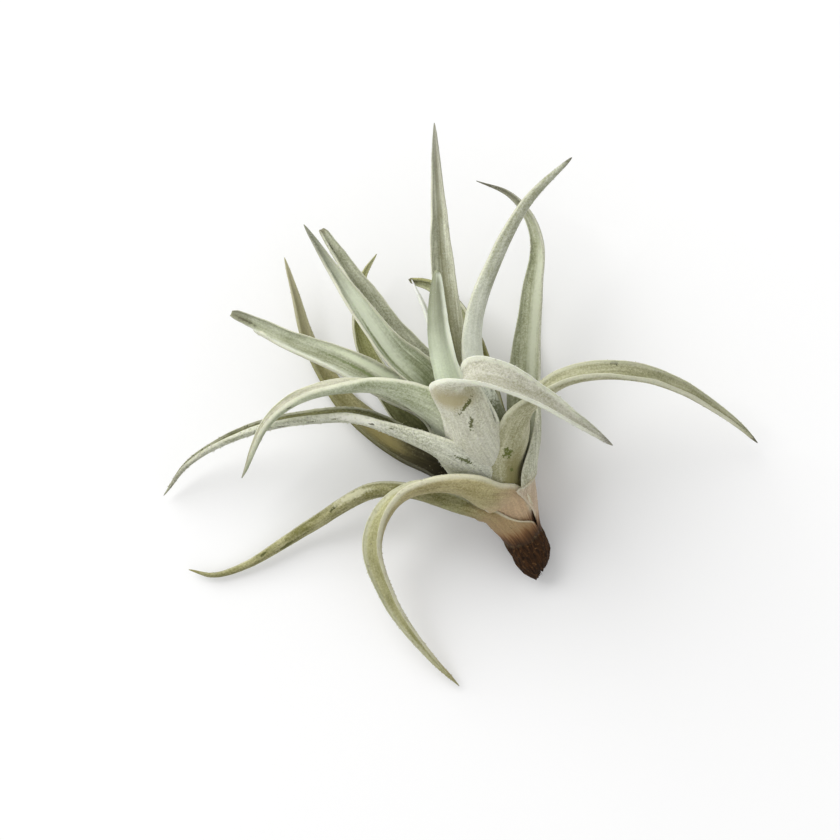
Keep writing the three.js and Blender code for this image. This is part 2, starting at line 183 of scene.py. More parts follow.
# %% The low leaves behind, and what all leaves share
LEAVES |= {
    "leaf_rear_tip": dict(
      around=100, ring=5, sheath=18, width=12, wrap=50,
      opens=[[-0.5, -0.2, 0.8]],
      route=[[26, 5, 27], [23.5, 17, 30], [20.5, 28.5, 31]],
    ),
    "leaf_low_s": dict(
      around=-140, ring=1, sheath=14, width=19, wrap=52,
      opens=[[0.3, 0.6, 0.7], [0.4, 0.5, 0.75], [0.5, 0.3, 0.8], [0.5, 0, 0.85]],
      route=[[7, -17, 8], [-7.5, -10.5, 2.8], [-26.5, 5.5, 2], [-38, 24.5, 6], [-43, 44, 12],
        [-46, 55, 15]],
    ),
    "leaf_low_up": dict(
      around=180, ring=3, sheath=18, width=17, wrap=50,
      opens=[[0.3, -0.3, 0.9]],
      route=[[-1.5, -1, 11], [-15, 16, 8], [-20, 27.5, 8], [-21, 39, 10], [-19, 49, 14], [-14.5, 56, 17]],
    ),
    "leaf_curl_back": dict(
      around=140, ring=4, sheath=20, width=14.5, wrap=50, taper=0.45,
      opens=[[-0.4, -0.3, 0.85], [-0.3, -0.6, 0.7]],
      route=[[20.5, 13.5, 18], [18.5, 25.5, 17], [15, 35, 16], [9.5, 42.5, 15], [3.5, 46.5, 13],
        [-4, 48, 11]],
    ),
    "leaf_rear_right": dict(
      around=160, ring=1, sheath=16, width=15, wrap=50,
      opens=[[-0.3, -0.1, 0.9]],
      route=[[35.5, -3.5, 12], [37, 13.5, 5], [38, 29, 0.3], [38, 46.5, 3]],
    ),
    "leaf_rear": dict(
      around=-170, ring=2, sheath=18, width=15, wrap=50,
      opens=[[-0.3, -0.1, 0.9]],
      route=[[19.5, -3.5, 12], [14.5, 15.5, 6], [11, 31, 4], [9.5, 44.5, 4]],
    ),
}
HABIT = dict(tip=0.25, taper=0.78, crease=0.35, curl=1, roll=0.5, hug=(1, 1), flare=(0, 0), wider={},
             torn={}, scurf=1)  # what a leaf is like where its own words don't say otherwise
LEAVES = {name: {**HABIT, **leaf} for name, leaf in LEAVES.items()}
print("leaves in all:", len(LEAVES))

# %% [markdown]
# ## The middle line of a leaf
#
# A leaf could be bent with a lattice, or swept along a Blender curve. Here its cross-sections are worked
# out in code, because a leaf changes in every way at once from sheath to tip: width, bend, thickness and
# twist. The line itself is a spline that passes through all of its points. The centripetal kind is used,
# because it makes no loops where points lie close together.

# %% Small helpers for arrays of points
def unit(vectors):
    """Each vector, made one long."""
    return vectors / np.linalg.norm(vectors, axis=-1, keepdims=True)


def between(start, end, share):
    """The start at a share of 0, the end at 1, and a straight mix of the two between."""
    return start + (end - start) * share


def smoothstep(value, low, high):
    """0 up to `low`, 1 from `high` on, and a soft rise between."""
    share = np.clip((value - low) / (high - low), 0, 1)
    return share * share * (3 - 2 * share)


UP_SIDE = unit(np.array([0, 0, 1.0]) - STEM_DIRECTION * STEM_DIRECTION[2])
RIGHT_SIDE = np.cross(STEM_DIRECTION, UP_SIDE)
print("the upper side of the stem faces", np.round(UP_SIDE, 2))


# %% Where a sheath lies on the stem
def outward(around):
    """The direction straight away from the stem: 0 degrees faces up, 90 right and -90 left."""
    angle = math.radians(around)
    return UP_SIDE * math.cos(angle) + RIGHT_SIDE * math.sin(angle)


def core_radius(along):
    """Half the thickness of the live stem, which narrows to its tip."""
    return between(CORE_RADIUS, CORE_TIP_RADIUS, (along - STUB_LENGTH) / CORE_LENGTH)


def ring_level(ring):
    """How far up the stem a sheath of this ring starts, so that each fits into the one below it."""
    taper = (CORE_RADIUS - CORE_TIP_RADIUS) / CORE_LENGTH
    return STUB_LENGTH + 2 * GAP + ring * RING_PITCH / (SHEATH_SLOPE + taper)


def sheath_radius(leaf, along):
    """How far the middle of a sheath is from the stem's axis: it opens like a cone."""
    return core_radius(ring_level(leaf["ring"])) + GAP + SHEATH_THICKNESS / 2 + along * SHEATH_SLOPE


print("the outermost sheath starts", round(ring_level(0), 1), "mm from the stem's end")

# %% Points along the curve
CURVE_STEPS = 60  # straight steps from one point of a route to the next
SECTION_STEP = 0.9  # mm from one cross-section to the next


def curve_through(points):
    """A centripetal spline through all of the points, as many short straight steps."""
    ends = [2 * points[0] - points[1], *points, 2 * points[-1] - points[-2]]
    share = np.linspace(0, 1, CURVE_STEPS, endpoint=False)[:, None]
    spans = []
    for a, b, c, d in zip(ends, ends[1:], ends[2:], ends[3:]):
        ab, bc, cd = (math.sqrt(np.linalg.norm(q - p)) for p, q in ((a, b), (b, c), (c, d)))
        leaving = ((b - a) / ab - (c - a) / (ab + bc) + (c - b) / bc) * bc
        arriving = ((c - b) / bc - (d - b) / (bc + cd) + (d - c) / cd) * bc
        spans.append(b + leaving * share + (3 * (c - b) - 2 * leaving - arriving) * share ** 2
                     + (2 * (b - c) + leaving + arriving) * share ** 3)
    return np.vstack([*spans, points[-1:]])


def leaf_line(leaf):
    """The middle line as evenly spaced points: up the cone of the sheath, then along the route."""
    away = outward(leaf["around"])
    points = []
    for share in (0, 0.5, 1):
        along = share * leaf["sheath"]
        level = STEM_END + STEM_DIRECTION * (ring_level(leaf["ring"]) + along)
        points.append(level + away * sheath_radius(leaf, along))
    curve = curve_through(np.array(points + [np.array(p, float) for p in leaf["route"]]))
    steps = np.linalg.norm(np.diff(curve, axis=0), axis=1)
    place = np.concatenate([[0], np.cumsum(steps)])
    along = np.linspace(0, place[-1], int(place[-1] / SECTION_STEP) + 1)
    return along, np.stack([np.interp(along, place, curve[:, k]) for k in range(3)], axis=1)


lengths = {name: leaf_line(leaf)[0][-1] for name, leaf in LEAVES.items()}
print("leaf lengths, mm:", {name: round(length) for name, length in lengths.items()})

# %% [markdown]
# ## The way a leaf faces
#
# The sheath faces the stem. From there the blade turns until its gutter opens to its own side. The
# direction is worked out at each step, squared up to the line, and then smoothed a little, because a
# sudden turn would leave a crease that a real leaf doesn't have.

# %% Directions along a leaf
SMOOTHING = 4  # a moving average takes in this many cross-sections on each side


def smoothed(values):
    """A moving average along the first axis that keeps both ends in place."""
    padded = np.concatenate([[values[0]] * SMOOTHING, values, [values[-1]] * SMOOTHING])
    total = np.cumsum(np.concatenate([np.zeros((1, 3)), padded]), axis=0)
    span = 2 * SMOOTHING + 1
    return (total[span:] - total[:-span]) / span


def leaf_directions(leaf, along, middle):
    """At each cross-section: ahead, into the gutter and sideways, and how much of a blade it is."""
    ahead = unit(np.gradient(middle, axis=0))
    length, sheath = along[-1], leaf["sheath"]
    place = np.clip((along - sheath) / (length - sheath), 0, 1) * (len(leaf["opens"]) - 1)
    keys = np.array(leaf["opens"], float)
    opening = unit(np.stack([np.interp(place, range(len(keys)), keys[:, k]) for k in range(3)], axis=1))
    to_stem = -outward(leaf["around"])
    turned = smoothstep(along, BEND_START * sheath, sheath + BLADE_TURN)[:, None]
    inward = between(to_stem, opening, turned)
    inward = unit(inward - ahead * (inward * ahead).sum(1, keepdims=True))
    blade = smoothstep(along, BEND_START * sheath, BEND_END * sheath)
    inward = unit(between(to_stem, inward, blade[:, None]))
    inward = unit(smoothed(smoothed(inward)))
    return ahead, inward, unit(np.cross(ahead, inward)), blade


tall_leaf = LEAVES["leaf_tall"]
tall_along, tall_middle = leaf_line(tall_leaf)
tall_inward = leaf_directions(tall_leaf, tall_along, tall_middle)[1]
print("the tip of the tall leaf opens to", np.round(tall_inward[-1], 2))

# %% [markdown]
# ## The cross-section
#
# Across, a leaf is a piece of a circular arc, thick in the middle and thin at the margins. Nature is
# less regular, so a few small things are added to each section: a fold along the middle, margins that
# roll in, long low ribs, and slow waves that make the edge wander. All of them are real shape and not
# only shading, because they show on the outline and in the shadows.

# %% Smooth irregularity
RIB_SPACING, RIB_HEIGHT = 1.5, 0.02  # mm
RIB_SETS, RIB_SUM = (1.0, 1.7, 2.9), 1.6  # how much finer each set of ribs is than the first
RIB_DRIFT, RIB_DRIFT_LENGTH = 0.5, 40  # half a spacing sideways, changing about every 40 mm


def wander(place, size, rng):
    """A smooth random line between -1 and 1 that changes about every `size` mm."""
    knots = rng.uniform(-1, 1, int(np.max(place) / size) + 4)
    step = place / size
    first = step.astype(int)
    share = smoothstep(step - first, 0, 1)
    return between(knots[first], knots[first + 1], share)


def ribs(across, along, rng):
    """Long low ribs that run with the leaf and drift slowly sideways."""
    drift = RIB_DRIFT * wander(along, RIB_DRIFT_LENGTH, rng)[:, None]
    total = 0
    for finer in RIB_SETS:
        turns = across * finer / RIB_SPACING + drift * finer + rng.uniform()
        total = total + np.sin(2 * math.pi * turns) / finer
    return total / RIB_SUM


print("the ribs stand", RIB_HEIGHT, "mm high and", RIB_SPACING, "mm apart")

# %% How far the leaf reaches to each side
MARGIN_WAVES = ((7, 0.03), (2, 0.012))  # their length in mm and their share of half the width
HUG_FADE, TEAR_LENGTH = 22, 1.3  # mm
BLUNT_SHARE, BLUNT_ROUNDING = 0.5, (-0.2, 1.8)  # a blunt tip narrows by half over its last 2 mm


def side_reach(leaf, along, rng):
    """The share of half the width on each side: 1, but for torn tips, longer sheaths and small waves."""
    length, sheath = along[-1], leaf["sheath"]
    both = []
    for side in (0, 1):
        reach = 1
        for size, amount in MARGIN_WAVES:
            reach = reach + amount * wander(along, size, rng)
        hug = np.ravel(leaf["hug"][side])
        hug = between(hug[0], hug[-1], smoothstep(along, *leaf.get("widens", (0, sheath))))
        reach = reach * between(hug, 1, smoothstep(along, sheath, sheath + HUG_FADE))
        if side in leaf["wider"]:
            rise, full, fall, end, extra = leaf["wider"][side]
            reach = reach * (1 + extra * smoothstep(along, rise, full)
                             * (1 - smoothstep(along, fall, end)))
        if leaf["tip"] > HABIT["tip"]:
            reach = reach * between(BLUNT_SHARE, 1, smoothstep(length - along, *BLUNT_ROUNDING))
        if side in leaf["torn"]:
            start, kept = leaf["torn"][side]
            torn = smoothstep(along, length - start, length - start + TEAR_LENGTH)
            reach = reach * between(1, kept, torn)
        both.append(reach[:, None])
    return both


tall_reach = side_reach(tall_leaf, tall_along, np.random.default_rng(0))[0]
print("the margins of the tall leaf stray by", round(100 * np.ptp(tall_reach)), "% of its half width")

# %% How wide, thick and bent the leaf is
WIDTH_WANDER = (18, 0.025)  # about every 18 mm the width changes, by up to 2.5%
THICKEST_SHARE = 0.55  # of the width, so that the tip stays slender
THIN_END, THIN_SHARE = 4, 0.25  # the lowest 4 mm of the sheath thin out to a quarter


def leaf_measures(leaf, along, blade, rng):
    """The width, the thickness and half of the arc at each cross-section."""
    left = np.clip((along[-1] - along) / (along[-1] - leaf["sheath"]), 0, 1)
    wrapped = 2 * math.radians(leaf["wrap"]) * sheath_radius(leaf, along)
    size, amount = WIDTH_WANDER
    wide = between(leaf["tip"], leaf["width"], left ** leaf["taper"])
    wide = wide * (1 + amount * wander(along, size, rng))
    width = between(wrapped, wide, blade)
    thickness = between(SHEATH_THICKNESS, between(TIP_THICKNESS, BLADE_THICKNESS, left), blade)
    thickness = np.minimum(thickness, THICKEST_SHARE * width)
    thickness = thickness * between(THIN_SHARE, 1, smoothstep(along, 0, THIN_END))
    channel = between(TIP_CHANNEL, BASE_CHANNEL, left) * leaf["curl"]
    gutter = np.minimum(channel, TIGHTEST_BEND * width / thickness)
    return width, thickness, between(width / (2 * sheath_radius(leaf, along)), gutter, blade)


tall_measures = leaf_measures(tall_leaf, tall_along, np.ones(len(tall_along)), np.random.default_rng(0))
print("the tall leaf is up to", round(tall_measures[0].max(), 1), "mm wide")

# %% Fold, rolled margins and waves
ROLL_START, ROLL_WIDTH = 0.72, 0.28  # in shares of half the width
FOLD_WIDTH, FLARE_START, FLARE_WIDTH = 0.3, 0.5, 0.5
FLARE_RISE = (2, 8)  # mm from the sheath's lower end
EDGE_WAVES = ((9, 0.3, 3), (2.6, 0.1, 6))  # length and height in mm, and how close they keep to the edge


def stand_off(leaf, place, share, along, blade, narrow, rng):
    """How far, in mm, each point of a section stands off the plain arc, away from the gutter."""
    to_edge = np.abs(place)
    roll = leaf["roll"] * blade[:, None] * np.clip((to_edge - ROLL_START) / ROLL_WIDTH, 0, 1) ** 2
    waves = 0
    for size, height, power in EDGE_WAVES:
        wave = np.where(place > 0, wander(along, size, rng)[:, None], wander(along, size, rng)[:, None])
        waves = waves + height * wave * to_edge ** power
    fold = leaf["crease"] * blade[:, None] * np.exp(-np.abs(share) / FOLD_WIDTH)
    shift = (fold - roll + waves * blade[:, None]) * narrow
    lifted = np.clip((to_edge - FLARE_START) / FLARE_WIDTH, 0, 1) ** 2 * np.where(place < 0, *leaf["flare"])
    return shift + lifted * ((1 - blade) * smoothstep(along, *FLARE_RISE))[:, None]


print("a margin rolls in over the last", round(100 * ROLL_WIDTH), "% of each side")

# %% The arc of a section, and the frayed end of the sheath
FRAY_LENGTH, FRAY_PULL, FRAY_SIZE = 5, (2.2, 1.6), 0.6  # mm


def leaf_arc(middle, inward, sideways, width, bend, share):
    """The centre and radius of each arc, and at each of its points the way out of it and round it."""
    angle = bend[:, None] * share
    radius = (width / (2 * bend))[:, None]
    sine, cosine = np.sin(angle)[..., None], np.cos(angle)[..., None]
    out = sideways[:, None] * sine - inward[:, None] * cosine
    round_way = sideways[:, None] * cosine + inward[:, None] * sine
    return (middle + inward * radius)[:, None], radius, out, round_way


def round_leaf(outer, right, inner, left):
    """One ring: along the outer face, round the right margin, back along the inner face, and left."""
    return np.concatenate([outer, right, inner[:, ::-1], left], axis=1)


def frayed(rings, share, along, rng):
    """The dry lower end of the sheath, pulled down by a different length at each point."""
    least, more = FRAY_PULL
    pull = least + more * wander(4 + 4 * share[0], FRAY_SIZE, rng)
    pull = np.concatenate([pull, pull[-1:], pull[::-1], pull[:1]])
    pull = np.clip(1 - along / FRAY_LENGTH, 0, 1)[:, None] ** 2 * pull[None]
    return rings - STEM_DIRECTION * pull[..., None]


print("the sheaths are frayed over", FRAY_LENGTH, "mm")

# %% One leaf as rings of points
ACROSS = 22  # points from margin to margin, closer together near the margins
MARGIN_THICKNESS = 0.42  # mm
THIN_RIM, THIN_RIM_WIDTH, THIN_RIM_END = 0.25, 4, 0.3  # where the leaf is under 4 mm, and at its lower end
MIDDLE_WANDER = (22, 0.35)  # about every 22 mm the middle line strays, by up to 0.35 mm
FULL_FORM_WIDTH, LEAST_FORM = 8, 0.1  # folds and waves grow weaker where the leaf is under 8 mm wide
RIB_FADE = 6  # how sharply the ribs end at the margins


def leaf_rings(leaf, rng):
    """The rings of points round the leaf, and what each point knows about its place on it."""
    along, middle = leaf_line(leaf)
    ahead, inward, sideways, blade = leaf_directions(leaf, along, middle)
    width, thickness, bend = leaf_measures(leaf, along, blade, rng)
    size, amount = MIDDLE_WANDER
    middle = middle + amount * blade[:, None] * (sideways * wander(along, size, rng)[:, None]
                                                 + inward * wander(along, size, rng)[:, None])
    place = np.sin(np.linspace(-math.pi / 2, math.pi / 2, ACROSS))[None, :]
    reach = side_reach(leaf, along, rng)
    share = between(-reach[0], reach[1], (place + 1) / 2)
    centre, radius, out, round_way = leaf_arc(middle, inward, sideways, width, bend, share)

    narrow = np.clip(width / FULL_FORM_WIDTH, LEAST_FORM, 1)[:, None]
    shift = stand_off(leaf, place, share, along, blade, narrow, rng)
    across = share * (width / 2)[:, None]
    rim_share = np.clip(width / THIN_RIM_WIDTH, THIN_RIM, 1)
    rim_share = rim_share * between(THIN_RIM_END, 1, smoothstep(along, 0, THIN_END))
    rim_thickness = MARGIN_THICKNESS * rim_share[:, None]
    half = between(rim_thickness, thickness[:, None], 1 - place ** 2) / 2
    rib = RIB_HEIGHT * ribs(across, along, rng) * (1 - np.abs(place) ** RIB_FADE) * narrow

    outer = centre + out * (radius + shift + half + rib)[..., None]
    inner = centre + out * (radius + shift - half + rib)[..., None]
    rim = centre + out * (radius + shift)[..., None]
    spill = 0.5 * rim_thickness[..., None]
    rings = round_leaf(outer, rim[:, -1:] + round_way[:, -1:] * spill,
                       inner, rim[:, :1] - round_way[:, :1] * spill)
    rings = frayed(rings, share, along, rng)
    rings[:, :, 2] = np.maximum(rings[:, :, 2], ABOVE_TABLE)

    inset = np.minimum(share + reach[0], reach[1] - share) * (width / 2)[:, None]
    none = np.zeros_like(across[:, :1])
    return rings, {
        "leaf_across": round_leaf(share, share[:, -1:], share, share[:, :1]),
        "leaf_inset": round_leaf(inset, none, inset, none),
        "leaf_across_mm": round_leaf(across, across[:, -1:], across, across[:, :1]),
        "leaf_inner": round_leaf(0 * across, none + 0.5, 0 * across + 1, none + 0.5),
        "leaf_from_base": np.broadcast_to(along[:, None], rings.shape[:2]),
        "leaf_to_tip": np.broadcast_to((along[-1] - along)[:, None], rings.shape[:2]),
    }


print("each ring has", 2 * ACROSS + 2, "points")

# %% [markdown]
# ## Standing scales
#
# The silver of an air plant is a coat of tiny scales that stand a little off the skin and catch dew.
# They could be a particle system, but particles are left behind when a model is exported. So about
# thirteen thousand of them are real shape here: pointed flakes, most of them under half a millimetre
# high, set at random places on the skin and leaning to the tip of the leaf. The rings have more points
# near the margins, so more flakes land there, where the real ones are rubbed up and show against light.

# %% Points and triangles of the standing scales
FLAKES_PER_RING = 5.0
FOOT_RADIUS, FOOT_DEPTH = 0.17, 0.06  # mm
FLAKE_LEAST = (0.1, 0.3, -0.7)  # height in mm, lean to the tip and slant to one side
FLAKE_MOST = (0.34, 1.3, 0.7)
BARE_RINGS = 6  # at the lower end of the sheath and at the tip


def standing_scales(rings, values, scurf, rng):
    """Flakes with three corners in the skin and one in the air, each of them closed on all sides."""
    count, size = rings.shape[:2]
    ring = rng.integers(BARE_RINGS, count - BARE_RINGS + 1, int(FLAKES_PER_RING * count))
    point = rng.integers(0, size, len(ring))
    beside = (point + 1) % size
    on_ring, off_point = rng.uniform(0, 1, (2, len(ring), 1))
    here = between(between(rings[ring, point], rings[ring + 1, point], on_ring),
                   between(rings[ring, beside], rings[ring + 1, beside], on_ring), off_point)
    ahead = unit(rings[ring + 1, point] - rings[ring - 1, point])
    away = unit(np.cross(ahead, rings[ring, beside] - rings[ring, point - 1]))
    aside = np.cross(away, ahead)
    high, lean, slant = rng.uniform(FLAKE_LEAST, FLAKE_MOST, (len(ring), 3)).T[:, :, None]
    foot = [here - FOOT_DEPTH * away
            + FOOT_RADIUS * scurf * (ahead * math.cos(turn) + aside * math.sin(turn))
            for turn in np.radians((0, 120, 240))]
    tip = here + scurf * high * (away + lean * ahead + slant * aside)
    points = np.stack([*foot, tip], axis=1)
    points[:, :, 2] = np.maximum(points[:, :, 2], ABOVE_TABLE)
    triangles = np.array([[0, 2, 1], [0, 1, 3], [1, 2, 3], [2, 0, 3]])
    faces = 4 * np.arange(len(ring))[:, None, None] + triangles
    return points.reshape(-1, 3), faces.reshape(-1, 3), {
        key: np.repeat(value[ring, point], 4) for key, value in values.items()}


print("flakes on each ring of a leaf:", FLAKES_PER_RING)

# %% [markdown]
# ## From rings to a mesh
#
# Neighbouring rings are joined by quads, and each end is closed by quads between its outer and its inner
# face. The places on the leaf, such as how far a point is from the tip or from the margin, are stored in
# the mesh as attributes. A material can read them, so a dry tip or a pale margin stays where it belongs
# however the leaf is bent.

# %% Faces between rings, and a piece from points and faces
def ring_quads(count, size):
    """Four-sided faces that join each ring of points to the next one."""
    near = np.arange(count - 1)[:, None] * size + np.arange(size)[None]
    nearer = np.arange(count - 1)[:, None] * size + (np.arange(size)[None] + 1) % size
    return np.stack([near, near + size, nearer + size, nearer], axis=-1).reshape(-1, 4)


def new_piece(name, points, faces, values):
    """A smooth piece from points in mm, with a number for each point under each name in `values`."""
    mesh = bpy.data.meshes.new(name)
    mesh.from_pydata(((points - PLANT_MIDDLE) * MM).tolist(), [], faces)
    for key, value in values.items():
        value = np.ravel(value).astype(np.float32)
        mesh.attributes.new(key, "FLOAT", "POINT").data.foreach_set("value", value)
    mesh.polygons.foreach_set("use_smooth", [True] * len(mesh.polygons))
    mesh.update()
    piece = bpy.data.objects.new(name, mesh)
    bpy.context.scene.collection.objects.link(piece)
    return piece


print("points become metres at", MM, "m for each mm")


# %% A blade with its standing scales
def end_faces(start, size):
    """The faces that close one end: quads between the outer and inner points, and the two rims."""
    half = size // 2
    faces = [[start + j, start + j + 1, start + size - 3 - j, start + size - 2 - j]
             for j in range(half - 2)]
    faces.append([start + half - 2, start + half - 1, start + half])
    faces.append([start, start + size - 2, start + size - 1])
    return faces


def blade_piece(name, rings, values, flakes):
    """One leaf as a closed skin, with its flakes in the same mesh."""
    count, size = rings.shape[:2]
    flake_points, flake_faces, flake_values = flakes
    faces = ring_quads(count, size).tolist() + end_faces(0, size)
    faces += [face[::-1] for face in end_faces((count - 1) * size, size)]
    faces += (flake_faces + count * size).tolist()
    values = {key: np.concatenate([np.ravel(value), flake_values[key]]) for key, value in values.items()}
    values["leaf_flake"] = np.repeat([0.0, 1.0], [count * size, len(flake_points)])
    return new_piece(name, np.concatenate([rings.reshape(-1, 3), flake_points]), faces, values)


print("each end of a leaf is closed by", len(end_faces(0, 2 * ACROSS + 2)), "faces")

# %% Build all the leaves
leaf_pieces = {}
for number, (name, leaf) in enumerate(LEAVES.items()):
    rings, values = leaf_rings(leaf, np.random.default_rng(100 + number))
    flakes = standing_scales(rings, values, leaf["scurf"], np.random.default_rng(200 + number))
    piece = blade_piece(name.replace("leaf_", "blade_"), rings, values, flakes)
    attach(piece, "root")
    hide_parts(name)
    leaf_pieces[name] = piece
print(sum(len(p.data.polygons) for p in leaf_pieces.values()), "faces on the leaves")

# %% [markdown]
# ## The stem and its dead stub
#
# Below the live leaves the stem ends in a dead, dark brown stub: a bundle of fibres, torn off at a
# slant, with the dry remains of old sheaths round it. It is a turned shape, so it could be a cylinder
# with a displacement texture. A ring-by-ring mesh is used instead, because the torn end needs each
# fibre to stop at its own length.

# %% The stub's fibres
AROUND = 144  # points round the stem
STEM_OUTLINE = [(0, 2.6), (1, 3.8), (3, 5.4), (6, 6.6), (9, 6.6), (13, 7), (16, 6.8), (17.5, 6.2),
                (STUB_LENGTH + CORE_LENGTH, CORE_TIP_RADIUS)]  # from the torn end: how far, and how thick
FIBRE_SETS = ((19, 0.34), (31, 0.26), (47, 0.16))  # how many round the stem, and how high in mm
FIBRE_BEND = 0.12  # radians round the stem
LUMP_HEIGHT, STUB_INSET = 0.3, 0.55  # mm
SLANT, TEETH, TORN_LENGTH = 2.4, 0.8, 3.0  # mm: how the end is torn, and how far up that shows
TOOTH_COUNT = 11  # on each half of the way round


def stem_rings(rng):
    """The angle of each point round the stem, its place along the stem and its distance from the middle."""
    angle = np.linspace(0, 2 * math.pi, AROUND, endpoint=False)
    along = np.concatenate([np.linspace(0, STUB_LENGTH, 46),
                            np.linspace(STUB_LENGTH + 0.8, STUB_LENGTH + CORE_LENGTH, 30)])
    radius = np.interp(along, *zip(*STEM_OUTLINE))[:, None]
    dead = 1 - smoothstep(along, STUB_LENGTH - 1, STUB_LENGTH + 1)[:, None]
    fibres = 0
    for count, height in FIBRE_SETS:
        bent = FIBRE_BEND * np.sin(along / 5 + rng.uniform(0, 6))[:, None]
        fibres = fibres + height * np.abs(np.sin(count * (angle[None] + bent) / 2 + rng.uniform(0, 6)))
    lumps = LUMP_HEIGHT * np.sin(3 * angle[None] + along[:, None] / 3.1)
    lumps = lumps * np.sin(2 * angle[None] - along[:, None] / 4.3)
    radius = radius - dead * (STUB_INSET - fibres - lumps) * np.minimum(1, radius / 4)
    torn = SLANT * np.sin(angle - 0.1) + TEETH * np.abs(np.sin(TOOTH_COUNT * angle))
    torn = torn + TEETH * rng.uniform(-1, 1, AROUND)
    place = along[:, None] + torn[None] * np.exp(-along[:, None] / TORN_LENGTH)
    return angle, place, radius


print("the stub is up to", max(radius for _, radius in STEM_OUTLINE), "mm from its middle")

# %% Build the stem
END_SHARES = (0.12, 0.3, 0.5, 0.7, 0.85)  # rings across the torn end, in shares of its radius
HOLLOW, LOOSE_ENDS = 1.1, 0.5  # mm: the torn end is a little hollow, and its fibres end unevenly


def stem_piece():
    """The stem as one closed piece: the torn end face, the stub and the core inside the sheaths."""
    rng = np.random.default_rng(7)
    angle, place, radius = stem_rings(rng)
    out = UP_SIDE[None] * np.cos(angle)[:, None] + RIGHT_SIDE[None] * np.sin(angle)[:, None]
    rings = [STEM_END + STEM_DIRECTION * p[:, None] + out * r[:, None] for p, r in zip(place, radius)]
    for share in END_SHARES[::-1]:
        deep = HOLLOW * (1 - share) + LOOSE_ENDS * rng.uniform(-1, 1, AROUND)
        level = STEM_END + STEM_DIRECTION * (place[0] * share + deep)[:, None]
        rings.insert(0, level + out * (radius[0] * share)[:, None])
    rings = np.array(rings)
    rings[:, :, 2] = np.maximum(rings[:, :, 2], 0.0)
    count = len(rings)
    faces = ring_quads(count, AROUND)[:, [0, 3, 2, 1]].tolist()
    faces.append(list(range(AROUND))[::-1])
    faces.append([(count - 1) * AROUND + k for k in range(AROUND)])
    return new_piece("stem_fibres", rings.reshape(-1, 3), faces, {
        "stem_along": np.repeat(np.concatenate([np.zeros(len(END_SHARES)), place.mean(1)]), AROUND),
        "stem_angle": np.tile(angle, count)})


stem = stem_piece()
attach(stem, "root")
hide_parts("stem")
print(len(stem.data.polygons), "faces on the stem")

# %% [markdown]
# ## Finishes: the parts that every leaf shares
#
# A leaf's colour comes in layers, like paint on a model: green flesh, long veins, a bloom of silvery
# scales, then the zones that differ, such as a tan sheath, a pale margin and a dry tip. Each layer is a
# shader node group, built once and placed in each material with its own values, so that all leaves
# belong to one plant and no two look the same.

# %% Helpers for shader nodes
def srgb(red, green, blue):
    """A colour judged from 0 to 255, as the linear light that shaders use."""
    channels = [c / 255 for c in (red, green, blue)]
    return (*[c / 12.92 if c <= 0.04045 else ((c + 0.055) / 1.055) ** 2.4 for c in channels], 1.0)


def darker(share, colour):
    """The colour at this share of its brightness."""
    return [share * c for c in colour]


RELIEF = 0.0006  # m, the height of the finest relief
print("relief of the skins, mm:", RELIEF / MM)


# %% A short way to add nodes
class Nodes:
    """Adds nodes to a tree of shader nodes."""

    def __init__(self, tree):
        self.tree = tree

    def put(self, socket, value):
        """Joins up another node's socket, or types in a plain value."""
        if isinstance(value, bpy.types.NodeSocket):
            self.tree.links.new(value, socket)
        else:
            socket.default_value = value

    def fill(self, node, values):
        for key, value in values.items():
            self.put(node.inputs[key], value)

    def add(self, kind, inputs=None, **settings):
        made = self.tree.nodes.new(kind)
        for key, value in settings.items():
            setattr(made, key, value)
        self.fill(made, inputs or {})
        return made


print("short ways to add nodes:", sum(not key.startswith("_") for key in vars(Nodes)))


